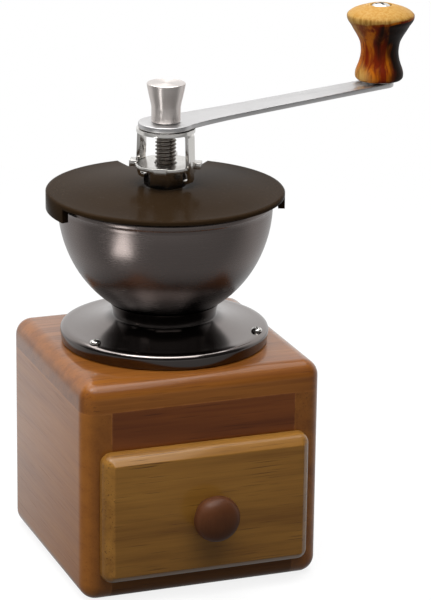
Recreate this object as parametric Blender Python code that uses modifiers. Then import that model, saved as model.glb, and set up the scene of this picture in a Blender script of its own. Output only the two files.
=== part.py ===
# Manual coffee grinder: a wooden box with a drawer, a metal hopper and a hand crank.
# Metres, +Z up. The origin is on the floor under the crank's axis, at the middle of the box.
# The drawer opens towards -Y.

import math

import bmesh
import bpy
from mathutils import Matrix, Vector

# Clearances
GAP = 0.0003                    # between pieces that touch
THREAD_GAP = 0.0003             # between a thread or pin and its bore
OVERRUN = 0.004                 # how far a cutter runs past what it cuts
MERGE = 0.000001                # points nearer than this become one
TURN_MERGE = 0.00001            # the same where a turned shape closes
SHARP_ANGLE = math.radians(35.0)
NODE_COLLECTION = "manual_coffee_grinder"

# Wooden box
BOX_WIDTH = 0.0995
BOX_DEPTH = 0.0955
BOX_HEIGHT = 0.0905
BOARD = 0.0117                  # thickness of every board
BOX_EDGE_RADIUS = 0.0068
BOX_EDGE_STEPS = 4
RAIL_HEIGHT = 0.0180            # rail over the drawer
GROUNDS_HOLE_RADIUS = 0.0140    # hole in the top board

# Drawer
DRAWER_FRONT_REVEAL = 0.00655   # box that shows on each side of the front
DRAWER_FRONT_LAP = 0.0025       # front over the rail
DRAWER_FRONT_LOW_LAP = 0.0027   # front over the bottom board
DRAWER_FRONT_THICKNESS = 0.0072
DRAWER_FRONT_CORNER = 0.0045
DRAWER_FRONT_EDGE = 0.0040
DRAWER_RUN_GAP = 0.0007         # each side of the drawer
DRAWER_WALL = 0.0050
DRAWER_HEAD_ROOM = 0.0045       # over the drawer, under the rail
DRAWER_FLOOR = 0.0030
DRAWER_BACK_GAP = 0.0012        # behind the drawer when it is shut
DRAWER_KNOB_RADIUS = 0.0094
DRAWER_KNOB_NECK_RADIUS = 0.0062
DRAWER_KNOB_NECK = 0.0060
DRAWER_KNOB_HEAD = 0.0072
DRAWER_KNOB_HEAD_SHARES = ((0.0, 1.0), (0.35, 0.97), (0.62, 0.88), (0.84, 0.70), (0.96, 0.48), (1.0, 0.28))
DRAWER_SCREW_RADIUS = 0.0017
DRAWER_SCREW_HEAD_RADIUS = 0.0034
DRAWER_SCREW_HEAD = 0.0020
DRAWER_SCREW_IN_KNOB = 0.0085

# Hopper foot
FOOT_RADIUS = 0.0420
FOOT_RIM_HEIGHT = 0.0064
FOOT_RIM_EDGE = 0.0008
FOOT_HEIGHT = 0.0165
FOOT_WALL = 0.0026
FOOT_RIM_WIDTH = 0.0078
NECK_RADIUS = 0.0208
NECK_TOP_RADIUS = 0.0222
NECK_LOW_SHARE = 0.66           # height of the narrow place, of the foot's height
NECK_SHARES = ((0.0, 0.0), (0.3, 0.5), (0.65, 0.88))    # down to the narrow place, inwards
NECK_BORE_RADIUS = 0.0165
FLARE_POWER = 3.6
FLARE_SHARES = (1.0, 0.94, 0.85, 0.73, 0.58, 0.40, 0.20, 0.0)

# Screws: height and radius of a domed head, in shares
SCREW_HEAD_SHARES = ((1.0, 0.0), (0.92, 0.6), (0.4, 1.0), (0.0, 1.0))

# Screws that hold the foot on the top board
FOOT_SCREWS = 3
FOOT_SCREW_AZIMUTH = math.radians(85.2)
FOOT_SCREW_CIRCLE = 0.0383
FOOT_SCREW_RADIUS = 0.0013
FOOT_SCREW_HEAD_RADIUS = 0.0022
FOOT_SCREW_HEAD = 0.0015
FOOT_SCREW_DEPTH = 0.0090       # in the top board

# Hopper bowl
BOWL_RADIUS = 0.0429
BOWL_DEPTH = 0.0414             # from the rim down to the foot
BOWL_CURVE_DROP = 0.0063        # how far the wall's ellipse would run on under the bowl
BOWL_CURVE_HEIGHT = BOWL_DEPTH + BOWL_CURVE_DROP    # half height of that ellipse
BOWL_WALL = 0.0012
BOWL_BEAD = 0.0008              # how far the rolled rim stands out
BOWL_BEAD_HEIGHT = 0.0022
BOWL_BEAD_SHARES = ((0.0, 0.0), (0.15, 0.8), (0.45, 1.0), (0.8, 0.6))   # down from the rim, outwards
BOWL_STEPS = 36
BOWL_POINTS = 10

# Burr holder and burrs
HOLDER_FLANGE_RADIUS = 0.0210
HOLDER_FLANGE = 0.0022
HOLDER_BORE_RADIUS = 0.0133
HOLDER_BOTTOM = 0.0030          # its lower end above the box
HOLDER_LIP = 0.0017
HOLDER_LIP_WIDTH = 0.0011
HOLDER_FUNNEL = 0.0024
HOLDER_SCREWS = 3
HOLDER_SCREW_AZIMUTH = math.radians(30.0)
HOLDER_SCREW_CIRCLE = 0.0188
HOLDER_SCREW_RADIUS = 0.0010
HOLDER_SCREW_HEAD_RADIUS = 0.0019
HOLDER_SCREW_HEAD = 0.0012
HOLDER_SCREW_DEPTH = 0.0060     # in the foot
BURR_HEIGHT = 0.0125
OUTER_BURR_LOW_RADIUS = 0.0114
OUTER_BURR_HIGH_RADIUS = 0.0082
BURR_RUN_GAP = 0.0006           # between the two burrs' teeth at their closest
BURR_TEETH = 12
BURR_TOOTH_DEPTH = 0.0011
BURR_TOOTH_SHARES = (1.0, 0.55, 0.0, 0.25)      # depth round one tooth
BURR_RINGS = 5
BURR_TWIST = math.radians(24.0)
INNER_BURR_HIGH_RADIUS = 0.0058

# Shaft
SHAFT_LOW_RADIUS = 0.0030
SHAFT_RADIUS = 0.0040
SHAFT_COLLAR_RADIUS = 0.0052
SHAFT_COLLAR_HEIGHT = 0.0016
SHAFT_COLLAR_RISE = 0.0036      # collar above the shoulder
THREAD_RADIUS = 0.0042
THREAD_PITCH = 0.0015
THREAD_DEPTH = 0.0007
THREAD_TURNS = 18
SHAFT_TOP_RADIUS = 0.0034
SHAFT_FLAT = 0.0056             # across the two flats that drive the crank
SHAFT_TOP_LENGTH = 0.0135       # above the stopper's seat
SHAFT_END = 0.0010              # below the burr nut
BURR_NUT_HEIGHT = 0.0024
BURR_NUT_RADIUS = 0.0052
BURR_WASHER = 0.0008
BURR_WASHER_RADIUS = 0.0070

# Spring
SPRING_WIRE_RADIUS = 0.0006
SPRING_RADIUS = 0.0076
SPRING_CURLS = 6
SPRING_CURL_POINTS = 9
SPRING_SEAT = 0.0008
SPRING_SEAT_RADIUS = 0.0086

# Bridge across the bowl, its bush and the washer on it
BRIDGE_AZIMUTH = math.radians(-18.0)
BRIDGE_WIDTH = 0.0110
BRIDGE_MIDDLE_RADIUS = 0.0104   # round middle that carries the bush
BRIDGE_THICKNESS = 0.0016
BRIDGE_TOP_BELOW_RIM = 0.0026
BRIDGE_TAB = 0.0100
BRIDGE_BEND = 0.0020
BUSH_RADIUS = 0.0060
BUSH_FLANGE_RADIUS = 0.0080
BUSH_FLANGE = 0.0013
BUSH_LENGTH = 0.0045            # below the bridge
THRUST_WASHER = 0.0010
THRUST_WASHER_RADIUS = 0.0076

# Adjusting nut
NUT_BOSS_FLATS = 0.0130
NUT_BOSS_HEIGHT = 0.0129
NUT_BOSS_TURN = math.radians(-15.0)     # from a lug to a corner of the boss
NUT_RING_RADIUS = 0.0123
NUT_RING = 0.0016
NUT_LUGS = 4
NUT_LUG_RADIUS = 0.0143
NUT_LUG_WIDTH = 0.0050
NUT_LUG_ROOT = 0.0010           # how far a lug runs into the ring
NUT_LUG_HEIGHT = 0.0025
NUT_LUG_AZIMUTH = math.radians(-28.7)

# Stopper
STOPPER_AZIMUTH = math.radians(-52.7)
STOPPER_STRIP = 0.0015
STOPPER_WIDTH = 0.0046
STOPPER_DISC_RADIUS = 0.0117
STOPPER_LEG_RADIUS = 0.0113     # from the axis to the middle of a leg, at its top
STOPPER_SPLAY = 0.0006          # how much further out a leg is at its foot
STOPPER_RUN_GAP = 0.0004        # between a leg and its notch in the nut
STOPPER_HEIGHT = 0.0215         # from the top face to the lower ends
STOPPER_BEND = 0.0016
STOPPER_HOOK_WIDTH = 0.0028
STOPPER_HOOK = 0.0026           # how far the lower ends turn in
STOPPER_HOOK_DROP = 0.0010      # where the legs narrow, below the nut's ring

# Crank arm
CRANK_RADIUS = 0.1145           # from the shaft's axis to the grip's
CRANK_AZIMUTH = math.radians(19.4)
CRANK_THICKNESS = 0.0020
CRANK_HUB_RADIUS = 0.0110
CRANK_SIDE_SHARES = ((0.083, 0.814), (0.131, 0.745), (0.20, 0.69), (0.33, 0.641))  # along, half width
CRANK_END_RADIUS = 0.0062
CRANK_HUB_TURN = math.radians(62.0)
CRANK_END_TURN = math.radians(86.0)

# Cap nut
CAP_RADIUS = 0.0058
CAP_TOP_RADIUS = 0.0077
CAP_HEIGHT = 0.0155
CAP_STRAIGHT = 0.0056
CAP_EDGE = 0.0005
CAP_BORE_DEPTH = 0.0112
CAP_FLARE_SHARES = ((1.0, 1.0), (0.72, 0.74), (0.44, 0.42), (0.18, 0.13), (0.0, 0.0))

# Crank grip and its spindle
GRIP_HEIGHT = 0.0315
GRIP_RADIUS = 0.0141
GRIP_SHARES = (
    (1.00, 0.35), (0.975, 0.56), (0.935, 0.81), (0.885, 0.97), (0.845, 1.00), (0.795, 0.97),
    (0.735, 0.88), (0.665, 0.79), (0.60, 0.70), (0.52, 0.61), (0.455, 0.575), (0.37, 0.56),
    (0.29, 0.58), (0.215, 0.625), (0.15, 0.68), (0.09, 0.715), (0.03, 0.71), (0.0, 0.66),
)
GRIP_RECESS_DEPTH = 0.0022
GRIP_WASHER = 0.0005
GRIP_WASHER_RADIUS = 0.0068
SPINDLE_RADIUS = 0.0028
SPINDLE_TOP_GAP = 0.0012        # the spindle's end below the grip's recess
SPINDLE_SCREW_RADIUS = 0.0013
SPINDLE_SCREW_LENGTH = 0.0080
SPINDLE_SCREW_HEAD_RADIUS = 0.0042
SPINDLE_SCREW_HEAD = 0.0026

# Lid
LID_RADIUS = 0.0476
LID_PLATE = 0.0018
LID_RISE = 0.0018               # how far the middle stands over the rim
LID_CROWN_SHARES = ((0.17, 1.0), (0.5, 0.65), (0.8, 0.2), (0.985, 0.0))   # radius, height
LID_EDGE = 0.0007
LID_SKIRT = 0.0073              # height of the skirt from the lid's top
LID_SKIRT_WALL = 0.0027
LID_SKIRT_AZIMUTHS = ((math.radians(108.0), math.radians(193.0)), (math.radians(-22.0), math.radians(36.0)))
LID_RIB_WIDTH = 0.0018
LID_RIB_HEIGHT = 0.0022
LID_SLOT_AZIMUTH = math.radians(72.0)
LID_SLOT_WIDTH = 0.0170
LID_NOTCH_DISTANCE = 0.0327
LID_NOTCH_WIDTH = 0.0284
LID_NOTCH_SPREAD = 0.84         # how much wider the notch gets for each unit outwards
LID_STEPS = 48

# Heights that follow from the sizes above
BOX_TOP = BOX_HEIGHT
OPENING_BOTTOM = BOARD
OPENING_TOP = BOX_HEIGHT - BOARD - GAP - RAIL_HEIGHT
INNER_HALF_WIDTH = BOX_WIDTH / 2 - BOARD - GAP
FOOT_BOTTOM = BOX_TOP + GAP
FOOT_TOP = BOX_TOP + FOOT_HEIGHT
BOWL_BOTTOM = FOOT_TOP + GAP
BOWL_RIM = BOWL_BOTTOM + BOWL_DEPTH
HOLDER_SEAT = BOWL_BOTTOM + BOWL_WALL + GAP
HOLDER_TOP = HOLDER_SEAT + HOLDER_FLANGE
HOLDER_LOW = BOX_TOP + HOLDER_BOTTOM
BURR_BOTTOM = HOLDER_LOW + HOLDER_LIP + GAP
BURR_TOP = BURR_BOTTOM + BURR_HEIGHT
SHOULDER = BURR_TOP + GAP
BURR_WASHER_TOP = BURR_BOTTOM - GAP
BURR_NUT_TOP = BURR_WASHER_TOP - BURR_WASHER - GAP
SHAFT_BOTTOM = BURR_NUT_TOP - BURR_NUT_HEIGHT - SHAFT_END
COLLAR_TOP = SHOULDER + SHAFT_COLLAR_RISE + SHAFT_COLLAR_HEIGHT
SPRING_SEAT_TOP = COLLAR_TOP + GAP + SPRING_SEAT
BRIDGE_TOP = BOWL_RIM - BRIDGE_TOP_BELOW_RIM
BRIDGE_BOTTOM = BRIDGE_TOP - BRIDGE_THICKNESS
BUSH_TOP = BRIDGE_TOP + GAP + BUSH_FLANGE
THRUST_TOP = BUSH_TOP + GAP + THRUST_WASHER
NUT_BOTTOM = THRUST_TOP + GAP
NUT_RING_BOTTOM = NUT_BOTTOM + NUT_BOSS_HEIGHT
LID_TOP = BOWL_RIM + GAP + LID_RIB_HEIGHT + LID_PLATE
THREAD_BOTTOM = NUT_BOTTOM
STOPPER_SEAT = THREAD_BOTTOM + THREAD_TURNS * THREAD_PITCH
STOPPER_BOTTOM = STOPPER_SEAT + GAP
STOPPER_TOP = STOPPER_BOTTOM + STOPPER_STRIP
CRANK_BOTTOM = STOPPER_TOP + GAP
CRANK_TOP = CRANK_BOTTOM + CRANK_THICKNESS
CAP_BOTTOM = CRANK_TOP + GAP
GRIP_BOTTOM = CRANK_TOP + GAP + GRIP_WASHER + GAP
GRIP_TOP = GRIP_BOTTOM + GRIP_HEIGHT
DRAWER_BOTTOM = OPENING_BOTTOM + GAP
DRAWER_FRONT_BACK = -BOX_DEPTH / 2 - GAP
DRAWER_FRONT_FACE = DRAWER_FRONT_BACK - DRAWER_FRONT_THICKNESS
DRAWER_REAR = BOX_DEPTH / 2 - BOARD - GAP - DRAWER_BACK_GAP
DRAWER_TOP = OPENING_TOP - DRAWER_HEAD_ROOM
DRAWER_FRONT_WIDTH = BOX_WIDTH - 2 * DRAWER_FRONT_REVEAL
DRAWER_FRONT_BOTTOM = OPENING_BOTTOM - DRAWER_FRONT_LOW_LAP
DRAWER_FRONT_HEIGHT = OPENING_TOP + DRAWER_FRONT_LAP - DRAWER_FRONT_BOTTOM
DRAWER_MIDDLE = DRAWER_FRONT_BOTTOM + DRAWER_FRONT_HEIGHT / 2
DRAWER_SCREW_REACH = DRAWER_FRONT_THICKNESS + GAP + DRAWER_WALL


# Scene and collections

def clear_scene():
    for item in list(bpy.data.objects):
        bpy.data.objects.remove(item, do_unlink=True)


def new_collection(name):
    collection = bpy.data.collections.new(name)
    bpy.context.scene.collection.children.link(collection)
    return collection


clear_scene()
parts = new_collection(NODE_COLLECTION)
cutters = new_collection("cutters")


def move_to(item, collection):
    for owner in list(item.users_collection):
        owner.objects.unlink(item)
    collection.objects.link(item)


def empty(name, place, azimuth=0.0, parent=None):
    item = bpy.data.objects.new(name, None)
    item.location = place
    item.rotation_euler = (0, 0, azimuth)
    item.parent = parent
    parts.objects.link(item)
    return item


# Materials

def material(name, colour, roughness, metallic=0.0):
    made = bpy.data.materials.new(name)
    made.use_nodes = True
    shader = made.node_tree.nodes["Principled BSDF"]
    shader.inputs["Base Color"].default_value = (*colour, 1.0)
    shader.inputs["Roughness"].default_value = roughness
    shader.inputs["Metallic"].default_value = metallic
    return made


def shade(item):
    """Round pieces are shaded smooth, with their real edges kept sharp."""
    if item.type == "MESH" and item.data.polygons:
        item.data.shade_smooth()
        item.data.set_sharp_from_angle(angle=SHARP_ANGLE)


def finish(item, name, made, parent=None):
    """Names a finished piece, gives it its material and puts it with the parts."""
    shade(item)
    item.name = name
    item.data.name = name
    item.data.materials.clear()
    item.data.materials.append(made)
    if parent:
        item.parent = parent
    move_to(item, parts)
    return item


def as_cutter(item, name):
    item.name = name
    item.hide_render = True
    item.display_type = "WIRE"
    move_to(item, cutters)
    return item


# Basic shapes

def mesh_object(name, mesh):
    item = bpy.data.objects.new(name, mesh)
    bpy.context.scene.collection.objects.link(item)
    return item


def block(low, high):
    """A box between two corners, with its scale applied."""
    bpy.ops.mesh.primitive_cube_add(size=1)
    item = bpy.context.object
    low = Vector(low)
    high = Vector(high)
    size = high - low
    middle = (low + high) / 2
    item.data.transform(Matrix.Translation(middle) @ Matrix.Diagonal((*size, 1)))
    return item


def cylinder(radius, low, high, place=(0, 0), sides=24):
    """An upright cylinder between two heights."""
    bpy.ops.mesh.primitive_cylinder_add(vertices=sides, radius=radius, depth=high - low)
    item = bpy.context.object
    item.data.transform(Matrix.Translation((place[0], place[1], (low + high) / 2)))
    return item


def turned(profile, steps, closed=False):
    """A turned shape from a profile of (radius, height) points, down its outer side."""
    mesh = bpy.data.meshes.new("profile")
    points = [(radius, 0, height) for radius, height in profile]
    edges = [(k, k + 1) for k in range(len(points) - 1)]
    if closed:
        edges.append((len(points) - 1, 0))
    mesh.from_pydata(points, edges, [])
    item = mesh_object("turned", mesh)
    screw = item.modifiers.new("turn", "SCREW")
    screw.steps = steps
    screw.render_steps = steps
    screw.use_merge_vertices = True
    screw.merge_threshold = TURN_MERGE
    screw.use_smooth_shade = True
    return item


def headed_screw(seat, tip, radius, head_radius, head, steps=14):
    """A screw that stands upright, with its domed head on a seat height."""
    profile = [(head_radius * out, seat + head * up) for up, out in SCREW_HEAD_SHARES]
    profile += [(radius, seat), (radius, tip), (0, tip)]
    return turned(profile, steps)


def washer(inner, outer, low, high, steps=24):
    return turned([(outer, high), (outer, low), (inner, low), (inner, high)], steps, closed=True)


def applied(item):
    """Turns an object with its modifiers, or a curve, into a plain mesh object."""
    bpy.context.view_layer.update()
    graph = bpy.context.evaluated_depsgraph_get()
    mesh = bpy.data.meshes.new_from_object(item.evaluated_get(graph))
    work = bmesh.new()
    work.from_mesh(mesh)
    bmesh.ops.remove_doubles(work, verts=work.verts, dist=MERGE)
    bmesh.ops.recalc_face_normals(work, faces=work.faces)
    work.to_mesh(mesh)
    work.free()
    made = mesh_object("applied", mesh)
    made.matrix_world = item.matrix_world.copy()
    bpy.data.objects.remove(item, do_unlink=True)
    return made


def plate(outline, thickness, bottom, holes=(), matrix=None):
    """A flat plate from an outline of (x, y) points, with holes, standing on a height."""
    curve = bpy.data.curves.new("outline", "CURVE")
    curve.dimensions = "2D"
    curve.fill_mode = "BOTH"
    curve.extrude = thickness / 2
    for ring in (outline, *holes):
        spline = curve.splines.new("POLY")
        spline.points.add(len(ring) - 1)
        for point, (x, y) in zip(spline.points, ring):
            point.co = (x, y, 0, 1)
        spline.use_cyclic_u = True
    item = bpy.data.objects.new("plate", curve)
    bpy.context.scene.collection.objects.link(item)
    made = applied(item)
    made.data.transform(Matrix.Translation((0, 0, bottom + thickness / 2)))
    if matrix:
        made.data.transform(matrix)
    return made


def cut(item, cutter, operation="DIFFERENCE"):
    step = item.modifiers.new("cut", "BOOLEAN")
    step.operation = operation
    step.object = cutter
    return item


# Outlines

def arc(radius, start, end, count, middle=(0, 0)):
    """Points on an arc, both ends among them."""
    return [(middle[0] + radius * math.cos(start + (end - start) * k / count),
             middle[1] + radius * math.sin(start + (end - start) * k / count)) for k in range(count + 1)]


def circle(radius, count, middle=(0, 0)):
    return arc(radius, 0, 2 * math.pi * (count - 1) / count, count - 1, middle)


def two_flats(radius, half_flat, count=6):
    """A round with two flats, the shape of the shaft's driving end."""
    reach = math.asin(half_flat / radius)
    return arc(radius, -reach, reach, count) + arc(radius, math.pi - reach, math.pi + reach, count)


def bend(path, radii, steps=4):
    """Rounds the corners of an open path, each with its own radius."""
    made = [path[0]]
    for before, corner, after, radius in zip(path[:-2], path[1:-1], path[2:], radii):
        corner = Vector(corner)
        back = (Vector(before) - corner).normalized()
        ahead = (Vector(after) - corner).normalized()
        half = back.angle(ahead) / 2
        reach = radius / math.tan(half)
        middle = corner + (back + ahead).normalized() * (radius / math.sin(half))
        first = corner + back * reach - middle
        last = corner + ahead * reach - middle
        for k in range(steps + 1):
            made.append(tuple(middle + radius * first.slerp(last, k / steps)))
    made.append(path[-1])
    return made


def strip(path, thickness):
    """The closed outline of a strip of metal of one thickness along a path."""
    points = [Vector(point) for point in path]
    left = []
    right = []
    for k, point in enumerate(points):
        before = points[max(k - 1, 0)]
        after = points[min(k + 1, len(points) - 1)]
        into = (point - before).normalized() if k else (after - point).normalized()
        out = (after - point).normalized() if k < len(points) - 1 else into
        along = (into + out).normalized()
        side = Vector((-along.y, along.x)) * (thickness / 2 / max(along.dot(into), 0.5))
        left.append(tuple(point + side))
        right.append(tuple(point - side))
    return left + right[::-1]


def between(start, end, share):
    return start + (end - start) * share


# An upright outline in a plane through the axis, spread to both sides of that plane
UPRIGHT = Matrix.Rotation(math.pi / 2, 4, "X")


# Materials of the pieces

box_wood = material("oiled_rubberwood", (0.20, 0.075, 0.020), 0.38)
rail_wood = material("dark_rubberwood", (0.11, 0.036, 0.010), 0.38)
drawer_wood = material("pale_rubberwood", (0.22, 0.105, 0.026), 0.38)
inner_wood = material("plain_drawer_wood", (0.36, 0.22, 0.11), 0.60)
knob_brown = material("lacquered_brown_wood", (0.055, 0.018, 0.010), 0.22)
hopper_metal = material("bronzed_steel", (0.085, 0.068, 0.062), 0.28, 1.0)
foot_metal = material("polished_bronzed_metal", (0.13, 0.115, 0.11), 0.16, 1.0)
lid_plastic = material("brown_plastic", (0.035, 0.020, 0.013), 0.42)
bright_steel = material("bright_steel", (0.62, 0.60, 0.58), 0.22, 1.0)
brushed_steel = material("brushed_steel", (0.55, 0.52, 0.49), 0.30, 1.0)
dark_steel = material("dark_steel", (0.20, 0.18, 0.16), 0.35, 1.0)
spring_steel = material("spring_steel", (0.45, 0.43, 0.41), 0.30, 1.0)
brass = material("brass", (0.62, 0.42, 0.16), 0.30, 1.0)
nylon = material("black_nylon", (0.020, 0.020, 0.020), 0.50)
ceramic = material("white_ceramic", (0.80, 0.78, 0.74), 0.45)
grip_wood = material("olive_wood", (0.42, 0.14, 0.025), 0.30)


# Box: every board is cut from a block by one rounded envelope, as the glued box is sanded

def box_envelope():
    half_width = BOX_WIDTH / 2
    half_depth = BOX_DEPTH / 2
    item = block((-half_width, -half_depth, 0), (half_width, half_depth, BOX_HEIGHT))
    edge = item.modifiers.new("edges", "BEVEL")
    edge.width = BOX_EDGE_RADIUS
    edge.segments = BOX_EDGE_STEPS
    return as_cutter(item, "box_envelope")


def board(name, low, high, made, envelope):
    item = block(low, high)
    cut(item, envelope, "INTERSECT")
    return finish(item, name, made)


def make_box():
    envelope = box_envelope()
    wide = BOX_WIDTH / 2 + OVERRUN
    deep = BOX_DEPTH / 2 + OVERRUN
    inside = BOX_WIDTH / 2 - BOARD
    under_top = BOX_HEIGHT - BOARD - GAP
    rear = BOX_DEPTH / 2 - BOARD
    top = board("top_board", (-wide, -deep, BOX_HEIGHT - BOARD), (wide, deep, BOX_HEIGHT + OVERRUN),
                box_wood, envelope)
    chute = cylinder(GROUNDS_HOLE_RADIUS, BOX_HEIGHT - BOARD - OVERRUN, BOX_HEIGHT + OVERRUN, sides=32)
    cut(top, as_cutter(chute, "grounds_hole"))
    for k in range(FOOT_SCREWS):
        pilot = cylinder(FOOT_SCREW_RADIUS + THREAD_GAP, BOX_HEIGHT - FOOT_SCREW_DEPTH - GAP,
                         BOX_HEIGHT + OVERRUN, foot_screw_place(k), 12)
        cut(top, as_cutter(pilot, "pilot_hole"))
    board("left_board", (-wide, -deep, -OVERRUN), (-inside, deep, under_top), box_wood, envelope)
    board("right_board", (inside, -deep, -OVERRUN), (wide, deep, under_top), box_wood, envelope)
    board("back_board", (-INNER_HALF_WIDTH, rear, -OVERRUN), (INNER_HALF_WIDTH, deep, under_top),
          box_wood, envelope)
    board("bottom_board", (-INNER_HALF_WIDTH, -deep, -OVERRUN), (INNER_HALF_WIDTH, rear - GAP, BOARD),
          box_wood, envelope)
    board("front_rail", (-INNER_HALF_WIDTH, -deep, OPENING_TOP),
          (INNER_HALF_WIDTH, BOARD - BOX_DEPTH / 2, under_top), rail_wood, envelope)


def foot_screw_place(k):
    angle = FOOT_SCREW_AZIMUTH + 2 * math.pi * k / FOOT_SCREWS
    return (FOOT_SCREW_CIRCLE * math.cos(angle), FOOT_SCREW_CIRCLE * math.sin(angle))


# Drawer

def drawer_front():
    """The overlaid front: round corners, and one round edge along its face."""
    work = bmesh.new()
    bmesh.ops.create_cube(work, size=1)
    size = Matrix.Diagonal((DRAWER_FRONT_WIDTH, DRAWER_FRONT_THICKNESS, DRAWER_FRONT_HEIGHT, 1))
    middle = Vector((0, (DRAWER_FRONT_BACK + DRAWER_FRONT_FACE) / 2, DRAWER_MIDDLE))
    bmesh.ops.transform(work, matrix=Matrix.Translation(middle) @ size, verts=work.verts)
    corners = [e for e in work.edges if abs(e.verts[0].co.y - e.verts[1].co.y) > DRAWER_FRONT_THICKNESS / 2]
    bmesh.ops.bevel(work, geom=corners, offset=DRAWER_FRONT_CORNER, segments=4, profile=0.5, affect="EDGES")
    face_edges = [e for e in work.edges if max(v.co.y for v in e.verts) < middle.y]
    bmesh.ops.bevel(work, geom=face_edges, offset=DRAWER_FRONT_EDGE, segments=4, profile=0.5, affect="EDGES")
    mesh = bpy.data.meshes.new("drawer_front")
    work.to_mesh(mesh)
    work.free()
    return mesh_object("drawer_front", mesh)


def facing_front(item, origin):
    """Lays a turned piece down at the middle of the drawer's face, its top to the front."""
    item.rotation_euler = (math.pi / 2, 0, 0)
    item.parent = origin
    return item


def make_drawer():
    origin = empty("drawer_origin", (0, DRAWER_FRONT_FACE, DRAWER_MIDDLE))
    home = Matrix.Translation(-Vector(origin.location))
    half = INNER_HALF_WIDTH + GAP - DRAWER_RUN_GAP
    front = -BOX_DEPTH / 2
    behind = front + DRAWER_WALL
    low = DRAWER_BOTTOM
    high = DRAWER_TOP
    walls = {
        "drawer_inner_front": ((-half, front, low), (half, behind, high)),
        "drawer_left_side": ((-half, behind + GAP, low), (DRAWER_WALL - half, DRAWER_REAR, high)),
        "drawer_right_side": ((half - DRAWER_WALL, behind + GAP, low), (half, DRAWER_REAR, high)),
        "drawer_back": ((DRAWER_WALL + GAP - half, DRAWER_REAR - DRAWER_WALL, low),
                        (half - DRAWER_WALL - GAP, DRAWER_REAR, high)),
        "drawer_bottom": ((DRAWER_WALL + GAP - half, behind + GAP, low),
                          (half - DRAWER_WALL - GAP, DRAWER_REAR - DRAWER_WALL - GAP, low + DRAWER_FLOOR)),
    }
    hole = drawer_screw_hole(origin)
    for name, (start, end) in walls.items():
        item = block(start, end)
        if name == "drawer_inner_front":
            cut(item, hole)
        item.data.transform(home)
        finish(item, name, inner_wood, origin)
    face = drawer_front()
    face.data.transform(home)
    cut(face, hole)
    finish(face, "drawer_front", drawer_wood, origin)
    make_drawer_knob(origin)
    make_drawer_screw(origin)


def drawer_screw_hole(origin):
    item = cylinder(DRAWER_SCREW_RADIUS + THREAD_GAP, -DRAWER_SCREW_REACH - OVERRUN, OVERRUN, sides=16)
    return as_cutter(facing_front(item, origin), "drawer_screw_hole")


def make_drawer_knob(origin):
    """A domed disc on a short neck, with a blind hole for its screw."""
    head_start = GAP + DRAWER_KNOB_NECK
    hole_radius = DRAWER_SCREW_RADIUS + THREAD_GAP
    hole_end = DRAWER_SCREW_IN_KNOB + GAP
    profile = [(0, head_start + DRAWER_KNOB_HEAD)]
    for height, radius in reversed(DRAWER_KNOB_HEAD_SHARES):
        profile.append((radius * DRAWER_KNOB_RADIUS, head_start + height * DRAWER_KNOB_HEAD))
    profile += [(DRAWER_KNOB_NECK_RADIUS, head_start), (DRAWER_KNOB_NECK_RADIUS, GAP), (hole_radius, GAP),
                (hole_radius, hole_end), (0, hole_end)]
    item = facing_front(turned(profile, 28), origin)
    finish(item, "drawer_knob", knob_brown, origin)


def make_drawer_screw(origin):
    item = headed_screw(DRAWER_SCREW_REACH + GAP, -DRAWER_SCREW_IN_KNOB, DRAWER_SCREW_RADIUS,
                        DRAWER_SCREW_HEAD_RADIUS, DRAWER_SCREW_HEAD)
    item.rotation_euler = (-math.pi / 2, 0, 0)
    finish(item, "drawer_knob_screw", bright_steel, origin)


# Hopper foot, bowl and their screws

def make_foot():
    """A flared foot with a raised rim, hollow under the flare, and a bored neck."""
    rim_top = BOX_TOP + FOOT_RIM_HEIGHT
    narrow = BOX_TOP + FOOT_HEIGHT * NECK_LOW_SHARE
    flare_end = FOOT_RADIUS - FOOT_RIM_EDGE
    profile = [(NECK_BORE_RADIUS, FOOT_TOP)]
    for down, inwards in NECK_SHARES:
        profile.append((between(NECK_TOP_RADIUS, NECK_RADIUS, inwards), between(FOOT_TOP, narrow, down)))
    for share in FLARE_SHARES:
        radius = between(flare_end, NECK_RADIUS, share)
        profile.append((radius, rim_top + (narrow - rim_top) * share ** FLARE_POWER))
    recess_end = FOOT_RADIUS - FOOT_RIM_WIDTH
    recess_top = rim_top - FOOT_WALL
    profile += [(FOOT_RADIUS, rim_top - FOOT_RIM_EDGE), (FOOT_RADIUS, FOOT_BOTTOM), (recess_end, FOOT_BOTTOM),
                (recess_end, recess_top), (NECK_TOP_RADIUS, recess_top), (NECK_TOP_RADIUS, FOOT_BOTTOM),
                (NECK_BORE_RADIUS, FOOT_BOTTOM)]
    item = turned(profile, BOWL_STEPS, closed=True)
    for k in range(FOOT_SCREWS):
        hole = cylinder(FOOT_SCREW_RADIUS + THREAD_GAP, BOX_TOP - OVERRUN, rim_top + OVERRUN,
                        foot_screw_place(k), 12)
        cut(item, as_cutter(hole, "foot_screw_hole"))
    for k in range(HOLDER_SCREWS):
        hole = cylinder(HOLDER_SCREW_RADIUS + THREAD_GAP, FOOT_TOP - HOLDER_SCREW_DEPTH - GAP,
                        FOOT_TOP + OVERRUN, holder_screw_place(k), 10)
        cut(item, as_cutter(hole, "neck_screw_hole"))
    finish(item, "hopper_foot", foot_metal)


def holder_screw_place(k):
    angle = HOLDER_SCREW_AZIMUTH + 2 * math.pi * k / HOLDER_SCREWS
    return (HOLDER_SCREW_CIRCLE * math.cos(angle), HOLDER_SCREW_CIRCLE * math.sin(angle))


def make_foot_screws():
    seat = BOX_TOP + FOOT_RIM_HEIGHT + GAP
    for k in range(FOOT_SCREWS):
        item = headed_screw(seat, BOX_TOP - FOOT_SCREW_DEPTH, FOOT_SCREW_RADIUS, FOOT_SCREW_HEAD_RADIUS,
                            FOOT_SCREW_HEAD)
        item.location = (*foot_screw_place(k), 0)
        finish(item, f"foot_screw_{k + 1}", bright_steel)


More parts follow.
